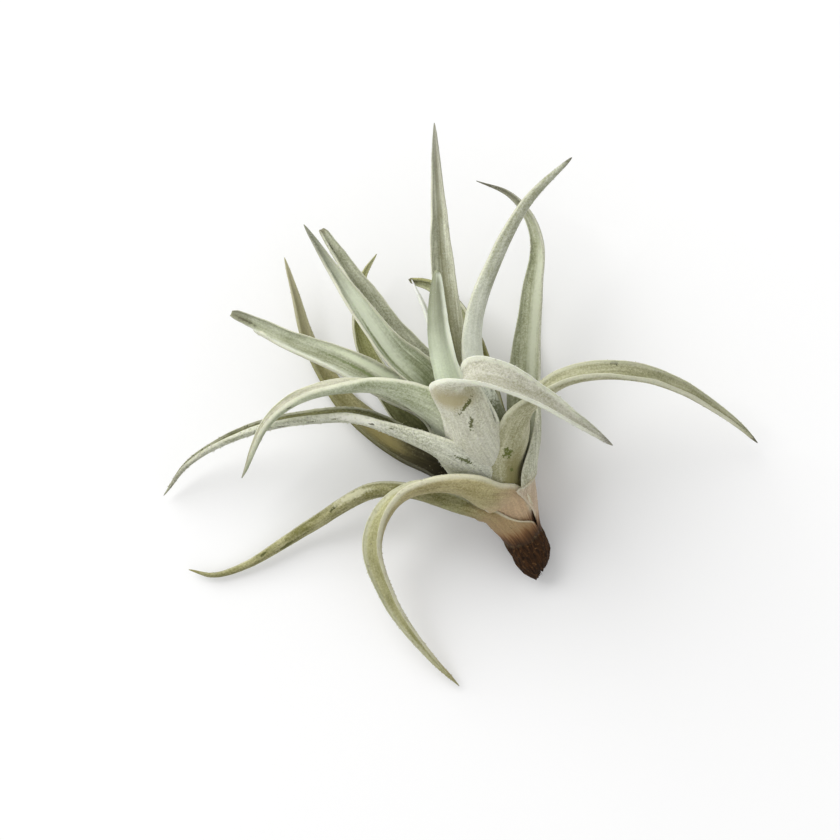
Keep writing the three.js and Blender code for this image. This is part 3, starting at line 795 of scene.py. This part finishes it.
# %% Sums, colours and patterns
class Tree(Nodes):
    """The sums, mixes and patterns that the finishes of this plant are made of."""

    def maths(self, operation, *values):
        return self.add("ShaderNodeMath", dict(enumerate(values)), operation=operation).outputs[0]

    def plus(self, first, second):
        return self.maths("ADD", first, second)

    def minus(self, first, second):
        return self.maths("SUBTRACT", first, second)

    def times(self, first, second):
        return self.maths("MULTIPLY", first, second)

    def over(self, first, second):
        return self.maths("DIVIDE", first, second)

    def range(self, value, low, high, to_low=0.0, to_high=1.0):
        """A soft step from one value to another, like smoothstep above."""
        made = self.add("ShaderNodeMapRange", {0: value, 1: low, 2: high, 3: to_low, 4: to_high},
                        interpolation_type="SMOOTHSTEP")
        return made.outputs[0]

    def mix(self, share, first, second):
        return self.add("ShaderNodeMix", {0: share, 6: first, 7: second}, data_type="RGBA").outputs[2]

    def lay_colour(self, colour, mask, strength, lay_colour):
        """The colour below, with another colour laid over it where the mask is 1: a real stain, painted
        shade or a painted highlight.
        """
        return self.mix(self.times(mask, strength), colour, srgb(*lay_colour))

    def attribute(self, name):
        return self.add("ShaderNodeAttribute", attribute_name=name).outputs["Fac"]

    def vector(self, x, y, z=0.0):
        return self.add("ShaderNodeCombineXYZ", {0: x, 1: y, 2: z}).outputs[0]

    def on_leaf(self, across, along, inner=0.0):
        """The place across and along the leaf in mm, and its side, each times its own factor."""
        factors = {"leaf_across_mm": across, "leaf_from_base": along, "leaf_inner": inner}
        return self.vector(*(self.times(self.attribute(name), factors[name]) for name in factors))

    def place(self):
        """The place on the piece, in metres."""
        return self.add("ShaderNodeTexCoord").outputs["Object"]

    def place_mm(self):
        made = self.add("ShaderNodeVectorMath", {0: self.place(), 3: 1 / MM}, operation="SCALE")
        return made.outputs[0]

    def noise(self, where, scale, detail, roughness=0.5):
        return self.add("ShaderNodeTexNoise", {"Vector": where, "Scale": scale, "Detail": detail,
                                               "Roughness": roughness}).outputs[0]

    def group(self, group, values):
        return self.add("ShaderNodeGroup", values, node_tree=group).outputs

    def bump(self, height, strength):
        """The normal of a skin with low relief."""
        return self.add("ShaderNodeBump", {"Height": height, "Strength": strength,
                                           "Distance": RELIEF}).outputs["Normal"]


print("sums, colours and patterns:", sum(not key.startswith("_") for key in vars(Tree)))


# %% Helpers for groups and materials
def new_group(name, inputs, outputs):
    """An empty node group: the group, its tree, what it is given and what it puts out."""
    group = bpy.data.node_groups.new(name, "ShaderNodeTree")
    for direction, sockets in (("INPUT", inputs), ("OUTPUT", outputs)):
        for label, kind in sockets.items():
            group.interface.new_socket(label, in_out=direction, socket_type="NodeSocket" + kind)
    tree = Tree(group)
    print("group:", name)
    return group, tree, tree.add("NodeGroupInput").outputs, tree.add("NodeGroupOutput")


def new_material(name):
    """A new material, its tree and its shader."""
    material = bpy.data.materials.new(name)
    material.use_nodes = True
    return material, Tree(material.node_tree), material.node_tree.nodes["Principled BSDF"]


print("materials so far:", len(bpy.data.materials))

# %% [markdown]
# ### Silvery scales
#
# Seen from close by, the scales are a pale, grainy bloom over the green flesh, thick in some patches and
# rubbed thin in others. An image could hold that, but it would stretch where a leaf is curved. Two sizes
# of noise in millimetres make the grain, so it is the same size on every leaf, and one slow noise along
# the leaf makes the patches.

# %% Group: silvery scales
GRAIN_RANGE = (0.36, 0.64)  # the noise hardly ever leaves this range
GRAIN_SCALES, GRAIN_WEIGHTS = (1.5, 3.6), (0.55, 0.45)  # coarse and fine
scales, tree, given, out = new_group(
    "Silvery scales",
    {"Flesh": "Color", "Scales": "Color", "Cover": "Float", "Grain": "Float", "Patches": "Float"},
    {"Color": "Color", "Height": "Float", "Mask": "Float"})
place = tree.place_mm()
coarse, fine = (tree.times(tree.noise(place, scale, 2.0, 0.6), weight)
                for scale, weight in zip(GRAIN_SCALES, GRAIN_WEIGHTS))
both = tree.plus(coarse, fine)
grain = tree.minus(tree.range(both, *GRAIN_RANGE), 0.5)
patch = tree.minus(tree.noise(tree.on_leaf(0.3, 0.1, 5.0), 1.0, 3.0), 0.5)
amount = tree.plus(given["Cover"], tree.times(patch, given["Patches"]))
amount = tree.plus(amount, tree.times(grain, given["Grain"]))
mask = tree.range(amount, 0.0, 1.0)
tree.fill(out, {"Color": tree.mix(mask, given["Flesh"], given["Scales"]), "Height": both, "Mask": mask})
print(len(scales.nodes), "nodes")

# %% [markdown]
# ### Long veins
#
# The veins of such a leaf run its whole length, and show as faint darker lines under the scales. Lines
# could be drawn with a wave texture, but they would be too regular. A noise that is squeezed across the
# leaf and stretched along it gives lines that fade in and out and never cross.

# %% Group: long veins
veins, tree, given, out = new_group(
    "Long veins", {"Spacing": "Float"}, {"Shade": "Float", "Height": "Float"})
where = tree.vector(tree.over(tree.attribute("leaf_across_mm"), given["Spacing"]),
                    tree.times(tree.attribute("leaf_from_base"), 0.035),
                    tree.times(tree.attribute("leaf_inner"), 7.0))
lines = tree.noise(where, 1.0, 3.0, 0.6)
tree.fill(out, {"Shade": tree.range(lines, 0.3, 0.7), "Height": lines})
print(len(veins.nodes), "nodes")

# %% [markdown]
# ### Where on the leaf
#
# A dry tip, a tan sheath, a pale margin that is partly a painted highlight, a dead lower end and painted
# shade along the crease of the gutter each have their own place. Masks could be painted on each leaf. Here
# they are worked out from the stored places, with a little noise, so that one group serves all leaves and
# each leaf only says how long or wide a zone is.

# %% Group: where on the leaf
ZONE_WORDS = ("Tip Length", "Sheath Length", "Margin Width", "Margin Side", "Margin Stop")
RAGGED_TIP, RAGGED_SHEATH, RAGGED_MARGIN, STREAK_LENGTH = 9.0, 8.0, 0.5, 6.0  # mm
zones, tree, given, out = new_group(
    "Where on the leaf",
    dict.fromkeys(ZONE_WORDS, "Float"),
    dict.fromkeys(("Tip", "Sheath", "Dead", "Margin", "Inner", "Crease Shade"), "Float"))
uneven = tree.minus(tree.noise(tree.place(), 300.0, 3.0), 0.5)
to_tip = tree.plus(tree.attribute("leaf_to_tip"), tree.times(uneven, RAGGED_TIP))
base = tree.plus(tree.attribute("leaf_from_base"), tree.times(uneven, RAGGED_SHEATH))
streak = tree.minus(tree.noise(tree.on_leaf(1.6, 0.12), 1.0, 2.0), 0.5)
dead = tree.plus(tree.attribute("leaf_from_base"), tree.times(streak, STREAK_LENGTH))
inset = tree.plus(tree.attribute("leaf_inset"), tree.times(uneven, RAGGED_MARGIN))
one_side = tree.range(tree.times(tree.attribute("leaf_across"), given["Margin Side"]), -0.3, -0.05)
stops = tree.range(tree.over(tree.attribute("leaf_to_tip"), given["Margin Stop"]), 0.2, 1.0)
near_edge = tree.range(tree.over(inset, given["Margin Width"]), 0.2, 1.0, 1.0, 0.0)
tree.fill(out, {
    "Tip": tree.range(tree.over(to_tip, given["Tip Length"]), 0.15, 1.0, 1.0, 0.0),
    "Sheath": tree.range(tree.over(base, given["Sheath Length"]), 0.35, 1.3, 1.0, 0.0),
    "Dead": tree.range(dead, -1.5, 7.5, 1.0, 0.0),
    "Margin": tree.times(tree.times(one_side, stops), near_edge),
    "Inner": tree.range(tree.attribute("leaf_inner"), 0.25, 0.75),
    # Painted shade along the middle of the inner side, where the crease of the gutter lies in shade.
    "Crease Shade": tree.range(tree.maths("ABSOLUTE", tree.attribute("leaf_across")), 0.0, 0.42, 1.0, 0.0)})
print(len(zones.nodes), "nodes")

# %% [markdown]
# ### Dark specks, scars, and painted shade and light
#
# Grit and bruises leave small dark specks all over, and a few larger scars at places that can be seen in
# the photo. Specks are the peaks of a rough noise, cut off at a level. A scar is an ellipse with a ragged
# edge at a chosen place on the leaf, so the same group also makes pale rubbed streaks, and on some leaves
# painted shade and painted highlights.

# %% Group: dark specks
FEWEST_LEVEL, LEVEL_DROP = 0.79, 0.2  # a lower level lets more peaks of the noise through
specks, tree, given, out = new_group("Dark specks", {"Amount": "Float"}, {"Mask": "Float"})
level = tree.minus(FEWEST_LEVEL, tree.times(given["Amount"], LEVEL_DROP))
peaks = tree.minus(tree.noise(tree.on_leaf(0.62, 0.3, 11.0), 1.7, 4.0, 0.75), level)
tree.fill(out, {"Mask": tree.range(peaks, 0.0, 0.05)})
print(len(specks.nodes), "nodes")

# %% Group: one mark at a chosen place: a scar, a rubbed streak, painted shade or a painted highlight
MARK_WORDS = ("Along", "Across", "Length", "Width", "Turn", "Inner", "Soft")
CORE_OF_MARK, RAGGED, SMOOTHER = 0.35, 3.4, 1.8  # a soft scar has a smoother edge
scar, tree, given, out = new_group("Mark and painted light", dict.fromkeys(MARK_WORDS, "Float"), {"Mask": "Float"})
down = tree.minus(tree.attribute("leaf_from_base"), given["Along"])
beside = tree.minus(tree.attribute("leaf_across_mm"), given["Across"])
cos, sin = tree.maths("COSINE", given["Turn"]), tree.maths("SINE", given["Turn"])
main = tree.over(tree.plus(tree.times(down, cos), tree.times(beside, sin)), given["Length"])
cross = tree.over(tree.minus(tree.times(beside, cos), tree.times(down, sin)), given["Width"])
far = tree.maths("SQRT", tree.plus(tree.times(main, main), tree.times(cross, cross)))
ragged = tree.minus(tree.noise(tree.place(), 900.0, 4.0, 0.7), 0.5)
far = tree.plus(far, tree.times(ragged, tree.minus(RAGGED, tree.times(given["Soft"], SMOOTHER))))
side = tree.minus(1.0, tree.maths("ABSOLUTE", tree.minus(tree.attribute("leaf_inner"), given["Inner"])))
inside = tree.range(far, CORE_OF_MARK, tree.plus(CORE_OF_MARK, given["Soft"]), 1.0, 0.0)
tree.fill(out, {"Mask": tree.times(inside, tree.range(side, 0.4, 0.6))})
print(len(scar.nodes), "nodes")

# %% [markdown]
# ## One material for each leaf
#
# The colours are told for the outer and the inner side of each leaf, because the outer side has more
# scales and is paler. The scales make the surface matt and a little brighter at a glancing angle, like
# velvet, which is what the sheen of the shader is for. A little light passes under the surface too.
#
# Colours are red, green and blue from 0 to 255. `cover` is how much of the flesh the scales hide, and words
# that end in `_in` are for the inner side. Each mark says how far from the base and from the middle line it
# is, its half length and half width in mm, its turn, whether it is on the inner side (1) or the outer (0),
# its colour, and how soft its edge is. Most marks are scars, specks and rubbed streaks; some are painted
# shade in a groove, a slit or under another leaf, and some are painted highlights and sheen.

# %% The silver and the green look
# `fold` is the strength of the painted shade along the crease of the gutter's inner side.
SILVER = dict(
    flesh=(112, 114, 70), scales=(224, 225, 206), cover=0.6, flesh_in=(108, 110, 66),
    scales_in=(214, 216, 192), cover_in=0.55, grain=0.34, patches=0.9, veins=0.12, fold=0.35,
    tip=(132, 128, 112), tip_length=6, tip_strength=0.7, sheath=(210, 212, 190), sheath_length=46,
    sheath_strength=0.65, margin=(228, 228, 206), margin_strength=0.45, margin_width=1.0, margin_side=0,
    margin_stop=22, specks=0.35, sheen=0.1, sheath_grain=0.3)
GREEN = dict(
    SILVER, flesh=(112, 112, 58), scales=(186, 184, 136), cover=0.42, flesh_in=(104, 102, 48),
    scales_in=(172, 168, 116), cover_in=0.38, tip=(150, 146, 110), sheath=(120, 116, 66))
print("words for each finish:", len(SILVER))

# %% Finishes of the long arching leaves
FINISHES = {
    "leaf_front_arch": dict(
        SILVER, flesh=(124, 114, 64), scales=(200, 190, 146), cover=0.5, margin_width=2.2,
        flesh_in=(132, 130, 80), scales_in=(204, 202, 160), cover_in=0.56, sheath=(206, 176, 142),
        sheath_length=21, sheath_strength=0.85, tip=(150, 144, 112), specks=0.2, margin_strength=0.6),
    "leaf_right_arch": dict(
        SILVER, flesh=(120, 118, 68), scales=(212, 210, 180), cover=0.56, scales_in=(194, 193, 163),
        flesh_in=(116, 116, 76), margin_width=1.6, margin_strength=0.6, sheath=(176, 158, 118),
        sheath_length=12, sheath_strength=0.85, tip=(70, 62, 46), tip_strength=0.85, specks=0.5,
        scars=[(19, 0.5, 13.0, 4.5, 0.0, 0, (128, 122, 74), 1.1),
               (30.3, 3.5, 3.8, 2.4, 0.3, 0, (84, 94, 26)), (22.2, 1.4, 1.8, 0.8, 0.6, 0, (88, 96, 40)),
               (78.2, -4.5, 2.8, 1.6, 0.0, 1, (72, 74, 42)),
               (83.6, 3.5, 2.6, 0.9, 0.0, 0, (98, 100, 62)),
               (112, 1.4, 24.0, 1.2, 0.0, 1, (230, 230, 214), 1.0)]),
    "leaf_left_long": dict(
        SILVER, scales=(224, 226, 208), cover=0.64, flesh_in=(82, 82, 46), scales_in=(142, 142, 104),
        grain=0.5, cover_in=0.35, specks=0.95, tip=(124, 120, 98), tip_length=32, tip_strength=0.5,
        sheath=(216, 217, 200),
        scars=[(34.5, -5.2, 4.2, 1.2, 0.25, 0, (78, 86, 36)),
               (69, -4.9, 10.0, 2.2, 0.0, 0, (236, 236, 222), 0.9),
               (64.6, -4.5, 2.2, 0.8, 0.1, 0, (70, 70, 48)), (58, -5.4, 1.4, 0.5, 0.2, 0, (88, 88, 60)),
               (77, -4.2, 2.4, 0.5, 0.1, 0, (96, 94, 68)), (86, -3.4, 3.2, 0.5, 0.0, 0, (92, 90, 66)),
               (96, -2.6, 3.0, 0.5, 0.0, 0, (84, 82, 60))]),
    # The beige patch under the rim is partly its own beige and partly painted shade under the overhanging
    # band; the long dark line near the margin is painted shade in a slit.
    "leaf_front_hook": dict(
        SILVER, flesh=(146, 142, 104), scales=(226, 226, 208), cover=0.72, flesh_in=(140, 138, 110),
        scales_in=(208, 207, 193), cover_in=0.66, sheath=(214, 214, 194), grain=0.48, veins=0.08,
        margin_width=2.2, specks=0.55, margin=(240, 243, 226), margin_strength=0.7, tip=(112, 108, 94),
        tip_length=8, tip_strength=0.8,
        scars=[(58.8, 1.4, 3.6, 7.0, 0.0, 0, (174, 164, 126), 1.3),
               (56.2, -3.1, 6.0, 1.3, -0.63, 0, (84, 88, 36)),
               (47.4, -2.6, 5.5, 1.2, -0.3, 0, (84, 88, 36)),
               (47.8, -10.6, 9.0, 0.7, -0.06, 0, (48, 52, 28), 0.6)]),
    "leaf_low_left": dict(
        GREEN, flesh=(110, 108, 54), scales=(196, 192, 152), cover=0.44, patches=1.1, sheen=0.02,
        sheath=(172, 145, 106), sheath_length=20, sheath_strength=0.9, specks=0.95, tip=(140, 132, 84),
        veins=0.2,
        scars=[(70, -1.3, 3.2, 1.0, 0.15, 0, (70, 72, 34)),
               (62, -1.9, 9.0, 1.3, 0.0, 0, (204, 202, 170), 0.8),
               (101, -0.6, 2.6, 0.7, 0.0, 0, (74, 76, 36)),
               (92, 0.8, 6.0, 0.7, 0.0, 0, (90, 92, 50), 0.6)]),
    "leaf_right_hook": dict(
        SILVER, flesh_in=(122, 127, 88), scales_in=(204, 207, 181), cover_in=0.56, veins=0.17,
        grain=0.4, sheath=(206, 180, 152), sheath_length=24, sheath_strength=0.85, tip=(98, 95, 80),
        tip_length=36, tip_strength=0.9, margin_strength=0.25,
        scars=[(94, -3.6, 3.0, 0.7, 0.2, 1, (80, 78, 58)), (98, -3.2, 2.0, 0.7, 0.0, 1, (80, 78, 58)),
               (70, 1.6, 30.0, 2.2, 0.0, 1, (204, 208, 186), 1.3)]),
    "leaf_left_arch": dict(
        SILVER, flesh=(116, 124, 80), scales=(208, 214, 188), cover=0.58, flesh_in=(138, 136, 104),
        scales_in=(210, 208, 190), cover_in=0.62, margin_strength=0.7, margin_width=1.2,
        scars=[(98.9, -2.7, 1.6, 0.7, 0.0, 0, (76, 74, 54))]),
}
print("finishes:", len(FINISHES))

# %% Finishes of the upright leaves
FINISHES |= {
    # Its bright right margin is a painted highlight, and its sheath colour is paler than the base's own
    # pale colour: painted light where the crown shades it.
    "leaf_short": dict(
        SILVER, flesh=(112, 116, 78), scales=(206, 212, 188), cover=0.52, tip=(128, 130, 104),
        tip_length=44, tip_strength=0.8, margin=(246, 252, 232), margin_strength=0.95, margin_width=1.7,
        margin_side=-1, margin_stop=2, sheath=(244, 255, 228), sheath_length=110, sheath_strength=0.95,
        sheath_grain=0.14),
    # Its sheath colour is brightened past the pale base's own colour as painted light, and its one mark is
    # painted shade under the front hook.
    "leaf_right_lean": dict(
        SILVER, scales=(208, 210, 194), cover=0.54, tip=(70, 64, 50), tip_length=5, tip_strength=0.85,
        sheath=(250, 255, 242), sheath_length=78, sheath_strength=0.95, sheath_grain=0.12,
        scars=[(33, 0, 13.0, 9.0, 0.0, 0, (96, 100, 64), 0.8)]),
    # Its long green line along the middle of the inner side is painted shade in the groove.
    "leaf_left_trough": dict(
        SILVER, scales_in=(212, 216, 194), cover_in=0.6, flesh_in=(112, 116, 78), grain=0.26,
        tip=(118, 114, 92), tip_length=11, tip_strength=0.5, margin_width=1.3, margin_strength=0.6,
        scars=[(114, 0.1, 6.0, 0.6, 0.0, 1, (84, 82, 66), 0.5),
               (106.6, -2.0, 2.4, 1.6, 0.3, 1, (228, 226, 206), 0.6),
               (62, 1.2, 26.0, 0.7, 0.0, 1, (118, 130, 84), 0.9),
               (66, 4.0, 24.0, 1.4, 0.0, 1, (228, 234, 208), 1.2),
               (94, -3.3, 26.0, 1.3, 0.03, 1, (228, 231, 216), 1.2)]),
    # Its dark line near the tip is painted shade in the groove, and its long pale streak along the middle
    # is a painted highlight.
    "leaf_upper_left": dict(
        SILVER, scales_in=(220, 226, 202), cover_in=0.68, flesh_in=(104, 112, 66), grain=0.26,
        veins=0.24, tip=(142, 142, 126), tip_length=30, margin_strength=0.75, margin_width=1.6,
        sheath=(102, 113, 42), sheath_length=64, sheath_strength=0.82,
        scars=[(96, -0.6, 13.0, 0.7, 0.0, 1, (76, 84, 54), 0.6),
               (80, 0.2, 20.0, 2.4, 0.05, 1, (226, 232, 210), 1.4),
               (72, -2.4, 14.0, 0.8, 0.1, 1, (120, 130, 86), 1.0)]),
    "leaf_pale": dict(
        SILVER, flesh=(196, 200, 176), flesh_in=(196, 200, 176), scales=(238, 240, 230),
        scales_in=(238, 240, 230), cover=0.85, cover_in=0.85, tip=(236, 236, 230), specks=0),
    "leaf_tall": dict(
        SILVER, flesh_in=(112, 110, 72), scales_in=(226, 228, 208), cover_in=0.68, fold=0.6, grain=0.26,
        sheath=(124, 120, 74), sheath_length=72, sheath_strength=0.75, veins=0.2, tip_length=32,
        tip=(146, 145, 132),
        scars=[(89, 4.0, 1.6, 0.6, 0.0, 1, (84, 82, 60)), (93.6, 3.8, 1.4, 0.6, 0.0, 1, (84, 82, 60))]),
    "leaf_upper_left_back": dict(
        SILVER, flesh_in=(100, 102, 68), scales_in=(204, 206, 184), cover_in=0.6, tip=(120, 116, 92),
        tip_length=3, margin_strength=0.6,
        scars=[(102, -0.4, 5.0, 0.5, 0.0, 1, (70, 72, 50), 0.5)]),
}
print("finishes:", len(FINISHES))

# %% Finishes of the low leaves behind
FINISHES |= {
    "leaf_rear_tip": dict(GREEN),
    # The nearly black sheath colour is painted shade deep in its gutter, and its one mark is a painted
    # sheen inside it.
    "leaf_low_s": dict(
        GREEN, flesh=(104, 102, 44), flesh_in=(126, 121, 66), scales=(150, 146, 86), sheen=0,
        scales_in=(206, 200, 156), cover=0.45, cover_in=0.6, sheath=(40, 31, 14), sheath_length=62,
        sheath_strength=0.97, tip=(190, 186, 158), tip_length=52, tip_strength=0.75,
        margin_strength=0.1,
        scars=[(53, 0.8, 8.0, 2.6, 0.0, 1, (158, 147, 98), 1.5)]),
    # The nearly black sheath colour is painted shade between the arching leaves above it.
    "leaf_low_up": dict(
        GREEN, flesh_in=(140, 142, 78), scales_in=(212, 212, 160), cover_in=0.55, tip=(186, 184, 152),
        tip_length=12, margin_strength=0.55, sheath=(42, 46, 16), sheath_length=76,
        sheath_strength=0.96, sheen=0),
    "leaf_curl_back": dict(
        GREEN, scales_in=(206, 208, 176), cover_in=0.6, flesh_in=(124, 126, 76), tip=(84, 80, 56),
        tip_length=3.5, tip_strength=0.85, margin_strength=0.7),
    "leaf_rear_right": dict(GREEN),
    "leaf_rear": dict(GREEN),
}
print(sum(len(look.get("scars", [])) for look in FINISHES.values()), "scars on", len(FINISHES), "leaves")

# %% [markdown]
# ### The layers of a leaf, one over the other
#
# The material mostly follows the order in which a leaf is made and ages: flesh and scales on each side,
# veins, painted shade in the fold, the sheath, specks and marks (among them painted shade and highlights),
# the dry tip, the pale margin, partly a painted highlight, and last the dead lower end.
# Each layer is mixed over the ones below it, so a later one hides the earlier ones where it is strong.

# %% The colour of a leaf
CRISP_EDGE = 0.27  # of a scar that doesn't say how soft it is
SPECK_STRENGTH, MARK_STRENGTH, DUST_STRENGTH = 0.75, 0.9, 0.6
VEIN_SHADE, GRAIN_SHADE, STREAK_SHADE = 0.72, 0.6, 0.7  # how dark each is beside the colour round it
DULL_GREEN, DRY_BROWN, DEAD_BROWN = (86, 90, 58), (126, 90, 56), (58, 37, 19)


def fibrous_sheath(tree, colour, look, coat, lines):
    """The colour below with the darker grain and the streaks of an old sheath."""
    grain = tree.range(coat["Height"], *GRAIN_RANGE, look["sheath_grain"], 0.0)
    colour = tree.mix(grain, colour, srgb(*darker(GRAIN_SHADE, look["sheath"])))
    streaks = tree.range(lines["Shade"], 0.0, 1.0, look["sheath_grain"], 0.0)
    return tree.mix(streaks, colour, srgb(*darker(STREAK_SHADE, look["sheath"])))


def with_marks(tree, colour, look):
    """The colour below with the small specks and this leaf's own marks: scars, rubbed streaks, painted
    shade and painted highlights.
    """
    dots = tree.group(specks, {"Amount": look["specks"]})
    colour = tree.lay_colour(colour, dots["Mask"], SPECK_STRENGTH, DULL_GREEN)
    for *form, lay_colour, soft in (s if len(s) > 7 else (*s, CRISP_EDGE) for s in look.get("scars", [])):
        mark = tree.group(scar, dict(zip(MARK_WORDS, (*form, soft))))
        colour = tree.lay_colour(colour, mark["Mask"], MARK_STRENGTH, lay_colour)
    return colour


def leaf_colour(tree, look, coats, lines):
    """All layers of colour, from the flesh to the dust of the standing scales."""
    where = tree.group(zones, {word: look[word.lower().replace(" ", "_")] for word in ZONE_WORDS})
    colour = tree.mix(where["Inner"], coats[0]["Color"], coats[1]["Color"])
    vein = tree.range(lines["Shade"], 0.0, 1.0, 2 * look["veins"], 0.0)
    colour = tree.mix(vein, colour, srgb(*darker(VEIN_SHADE, look["flesh"])))
    # Painted shade in the crease of the gutter: the inner flesh colour laid along the middle of the inner
    # side.
    colour = tree.lay_colour(colour, tree.times(where["Crease Shade"], where["Inner"]), look["fold"], look["flesh_in"])
    colour = tree.lay_colour(colour, where["Sheath"], look["sheath_strength"], look["sheath"])
    colour = tree.mix(where["Sheath"], colour, fibrous_sheath(tree, colour, look, coats[0], lines))
    colour = with_marks(tree, colour, look)
    colour = tree.lay_colour(colour, where["Tip"], look["tip_strength"], look["tip"])
    # A pale margin: the paler scales at the edge, and painted highlight where the edge catches the light.
    colour = tree.lay_colour(colour, where["Margin"], look["margin_strength"], look["margin"])
    colour = tree.mix(tree.range(where["Dead"], 0.0, 0.7), colour, srgb(*DRY_BROWN))
    colour = tree.mix(tree.range(where["Dead"], 0.35, 1.0), colour, srgb(*DEAD_BROWN))
    dust = tree.mix(where["Inner"], srgb(*look["scales"]), srgb(*look["scales_in"]))
    return tree.mix(tree.times(tree.attribute("leaf_flake"), DUST_STRENGTH), colour, dust)


print("a vein is", round(100 * VEIN_SHADE), "% as bright as the flesh beside it")


# %% Build a leaf's material
VEIN_SPACING = 0.8  # mm
GRAIN_RELIEF, VEIN_RELIEF, BUMP_STRENGTH = 0.5, 0.9, 0.5
BARE_ROUGHNESS, SCALY_ROUGHNESS = 0.62, 0.85
LEAF_SHADER = {"Sheen Roughness": 0.5, "Subsurface Weight": 0.12, "Subsurface Radius": (0.8, 1.0, 0.4),
               "Subsurface Scale": 0.0012, "Specular IOR Level": 0.15}


def leaf_material(name, look):
    """The material of one leaf, from its own words."""
    material, tree, shader = new_material(name)
    coats = [tree.group(scales, {
        "Flesh": srgb(*look["flesh" + side]), "Scales": srgb(*look["scales" + side]),
        "Cover": look["cover" + side], "Grain": look["grain"], "Patches": look["patches"]})
        for side in ("", "_in")]
    lines = tree.group(veins, {"Spacing": VEIN_SPACING})
    height = tree.plus(tree.times(coats[0]["Height"], GRAIN_RELIEF),
                       tree.times(lines["Height"], VEIN_RELIEF))
    tree.fill(shader, {
        "Base Color": leaf_colour(tree, look, coats, lines),
        "Roughness": tree.range(coats[0]["Mask"], 0.0, 1.0, BARE_ROUGHNESS, SCALY_ROUGHNESS),
        "Normal": tree.bump(height, BUMP_STRENGTH), "Sheen Weight": look["sheen"], **LEAF_SHADER})
    return material


for name, piece in leaf_pieces.items():
    piece.data.materials.append(leaf_material("leaf_skin_" + name.replace("leaf_", ""), FINISHES[name]))
print(len(bpy.data.materials), "materials")

# %% [markdown]
# ## The brown of the stub
#
# Dead fibres are dark where they are deep and paler where they stand out and have dried. The colour
# follows the angle round the stem, stretched lengthways, so that it reads as fibres.

# %% Stem material
FIBRES_AROUND = 9.0  # how fine the fibres are round the stem
DEEP_BROWN, FIBRE_BROWN = (20, 12, 7), (72, 47, 26)
CRUMB_TAN, OLD_SHEATH_TAN = (118, 88, 56), (176, 158, 124)


def stem_material():
    """Dark fibres, paler crumbs, and the tan of old sheaths where the stub meets the live part."""
    material, tree, shader = new_material("dead_fibres")
    angle, along = tree.attribute("stem_angle"), tree.attribute("stem_along")
    where = tree.vector(tree.times(tree.maths("SINE", angle), FIBRES_AROUND),
                        tree.times(tree.maths("COSINE", angle), FIBRES_AROUND), tree.times(along, 0.22))
    fibre = tree.noise(where, 1.2, 4.0, 0.7)
    crumbs = tree.noise(tree.place_mm(), 0.9, 4.0)
    colour = tree.mix(tree.range(fibre, 0.3, 0.7), srgb(*DEEP_BROWN), srgb(*FIBRE_BROWN))
    colour = tree.lay_colour(colour, tree.range(crumbs, 0.55, 0.75), 0.7, CRUMB_TAN)
    upper = tree.range(along, STUB_LENGTH - 3, STUB_LENGTH + 2)
    tree.fill(shader, {
        "Base Color": tree.lay_colour(colour, upper, 0.8, OLD_SHEATH_TAN),
        "Roughness": tree.range(crumbs, 0.2, 0.8, 0.7, 0.95),
        "Normal": tree.bump(tree.plus(fibre, tree.times(crumbs, 0.6)), 0.6), "Specular IOR Level": 0.12})
    return material


stem.data.materials.append(stem_material())
print("the stem has the material", stem.data.materials[0].name)

# %% [markdown]
# ## Table, light and camera
#
# The plant lies on a white table in a bright room. One large soft lamp stands at the upper left, so the
# shadows are wide and fall to the lower right, and the white surroundings fill them. The camera hangs
# straight above and looks down.

# %% The table
TABLE_SIZE = 6  # m
bpy.ops.mesh.primitive_plane_add(size=TABLE_SIZE, location=(0, 0, 0))
table = bpy.context.object
table.name = "table_top"
paint, tree, shader = new_material("white_table")
tree.fill(shader, {"Base Color": srgb(240, 240, 240), "Roughness": 0.8, "Specular IOR Level": 0.1})
table.data.materials.append(paint)
print("the table is", TABLE_SIZE, "m wide")

# %% The lamp and the bright room
ROOM_STRENGTH, LAMP_POWER = 0.7, 128.0
LAMP_SIZE, LAMP_PLACE = 2.9, (-2.0, 2.2, 2.3)  # m
room = bpy.data.worlds.new("bright_room")
bpy.context.scene.world = room
room.use_nodes = True
room.node_tree.nodes["Background"].inputs["Color"].default_value = (1.0, 1.0, 1.0, 1.0)
room.node_tree.nodes["Background"].inputs["Strength"].default_value = ROOM_STRENGTH
lamp_data = bpy.data.lights.new("window", "AREA")
lamp_data.shape = "RECTANGLE"
lamp_data.size, lamp_data.size_y = LAMP_SIZE, LAMP_SIZE
lamp_data.energy = LAMP_POWER
lamp = bpy.data.objects.new("window", lamp_data)
bpy.context.scene.collection.objects.link(lamp)
lamp.location = LAMP_PLACE
lamp.rotation_euler = (-lamp.location).to_track_quat("-Z", "Y").to_euler()
bpy.context.scene.view_settings.view_transform = "Standard"
print("lamp", round(lamp.location.length, 2), "m away")

# %% The camera
CAMERA_HEIGHT = 0.9
FRAME_WIDTH, FRAME_LEVEL = 0.28, 0.03  # the frame is this wide at this height above the table
camera_data = bpy.data.cameras.new("overhead")
camera_data.lens = camera_data.sensor_width * (CAMERA_HEIGHT - FRAME_LEVEL) / FRAME_WIDTH
camera = bpy.data.objects.new("overhead", camera_data)
bpy.context.scene.collection.objects.link(camera)
camera.location = (-PLANT_MIDDLE[0] * MM, -PLANT_MIDDLE[1] * MM, CAMERA_HEIGHT)
bpy.context.scene.camera = camera
print("lens, mm:", round(camera_data.lens, 1))

# %% [markdown]
# ## The size
#
# The finer meshes have to keep the size of the solids that they replace.
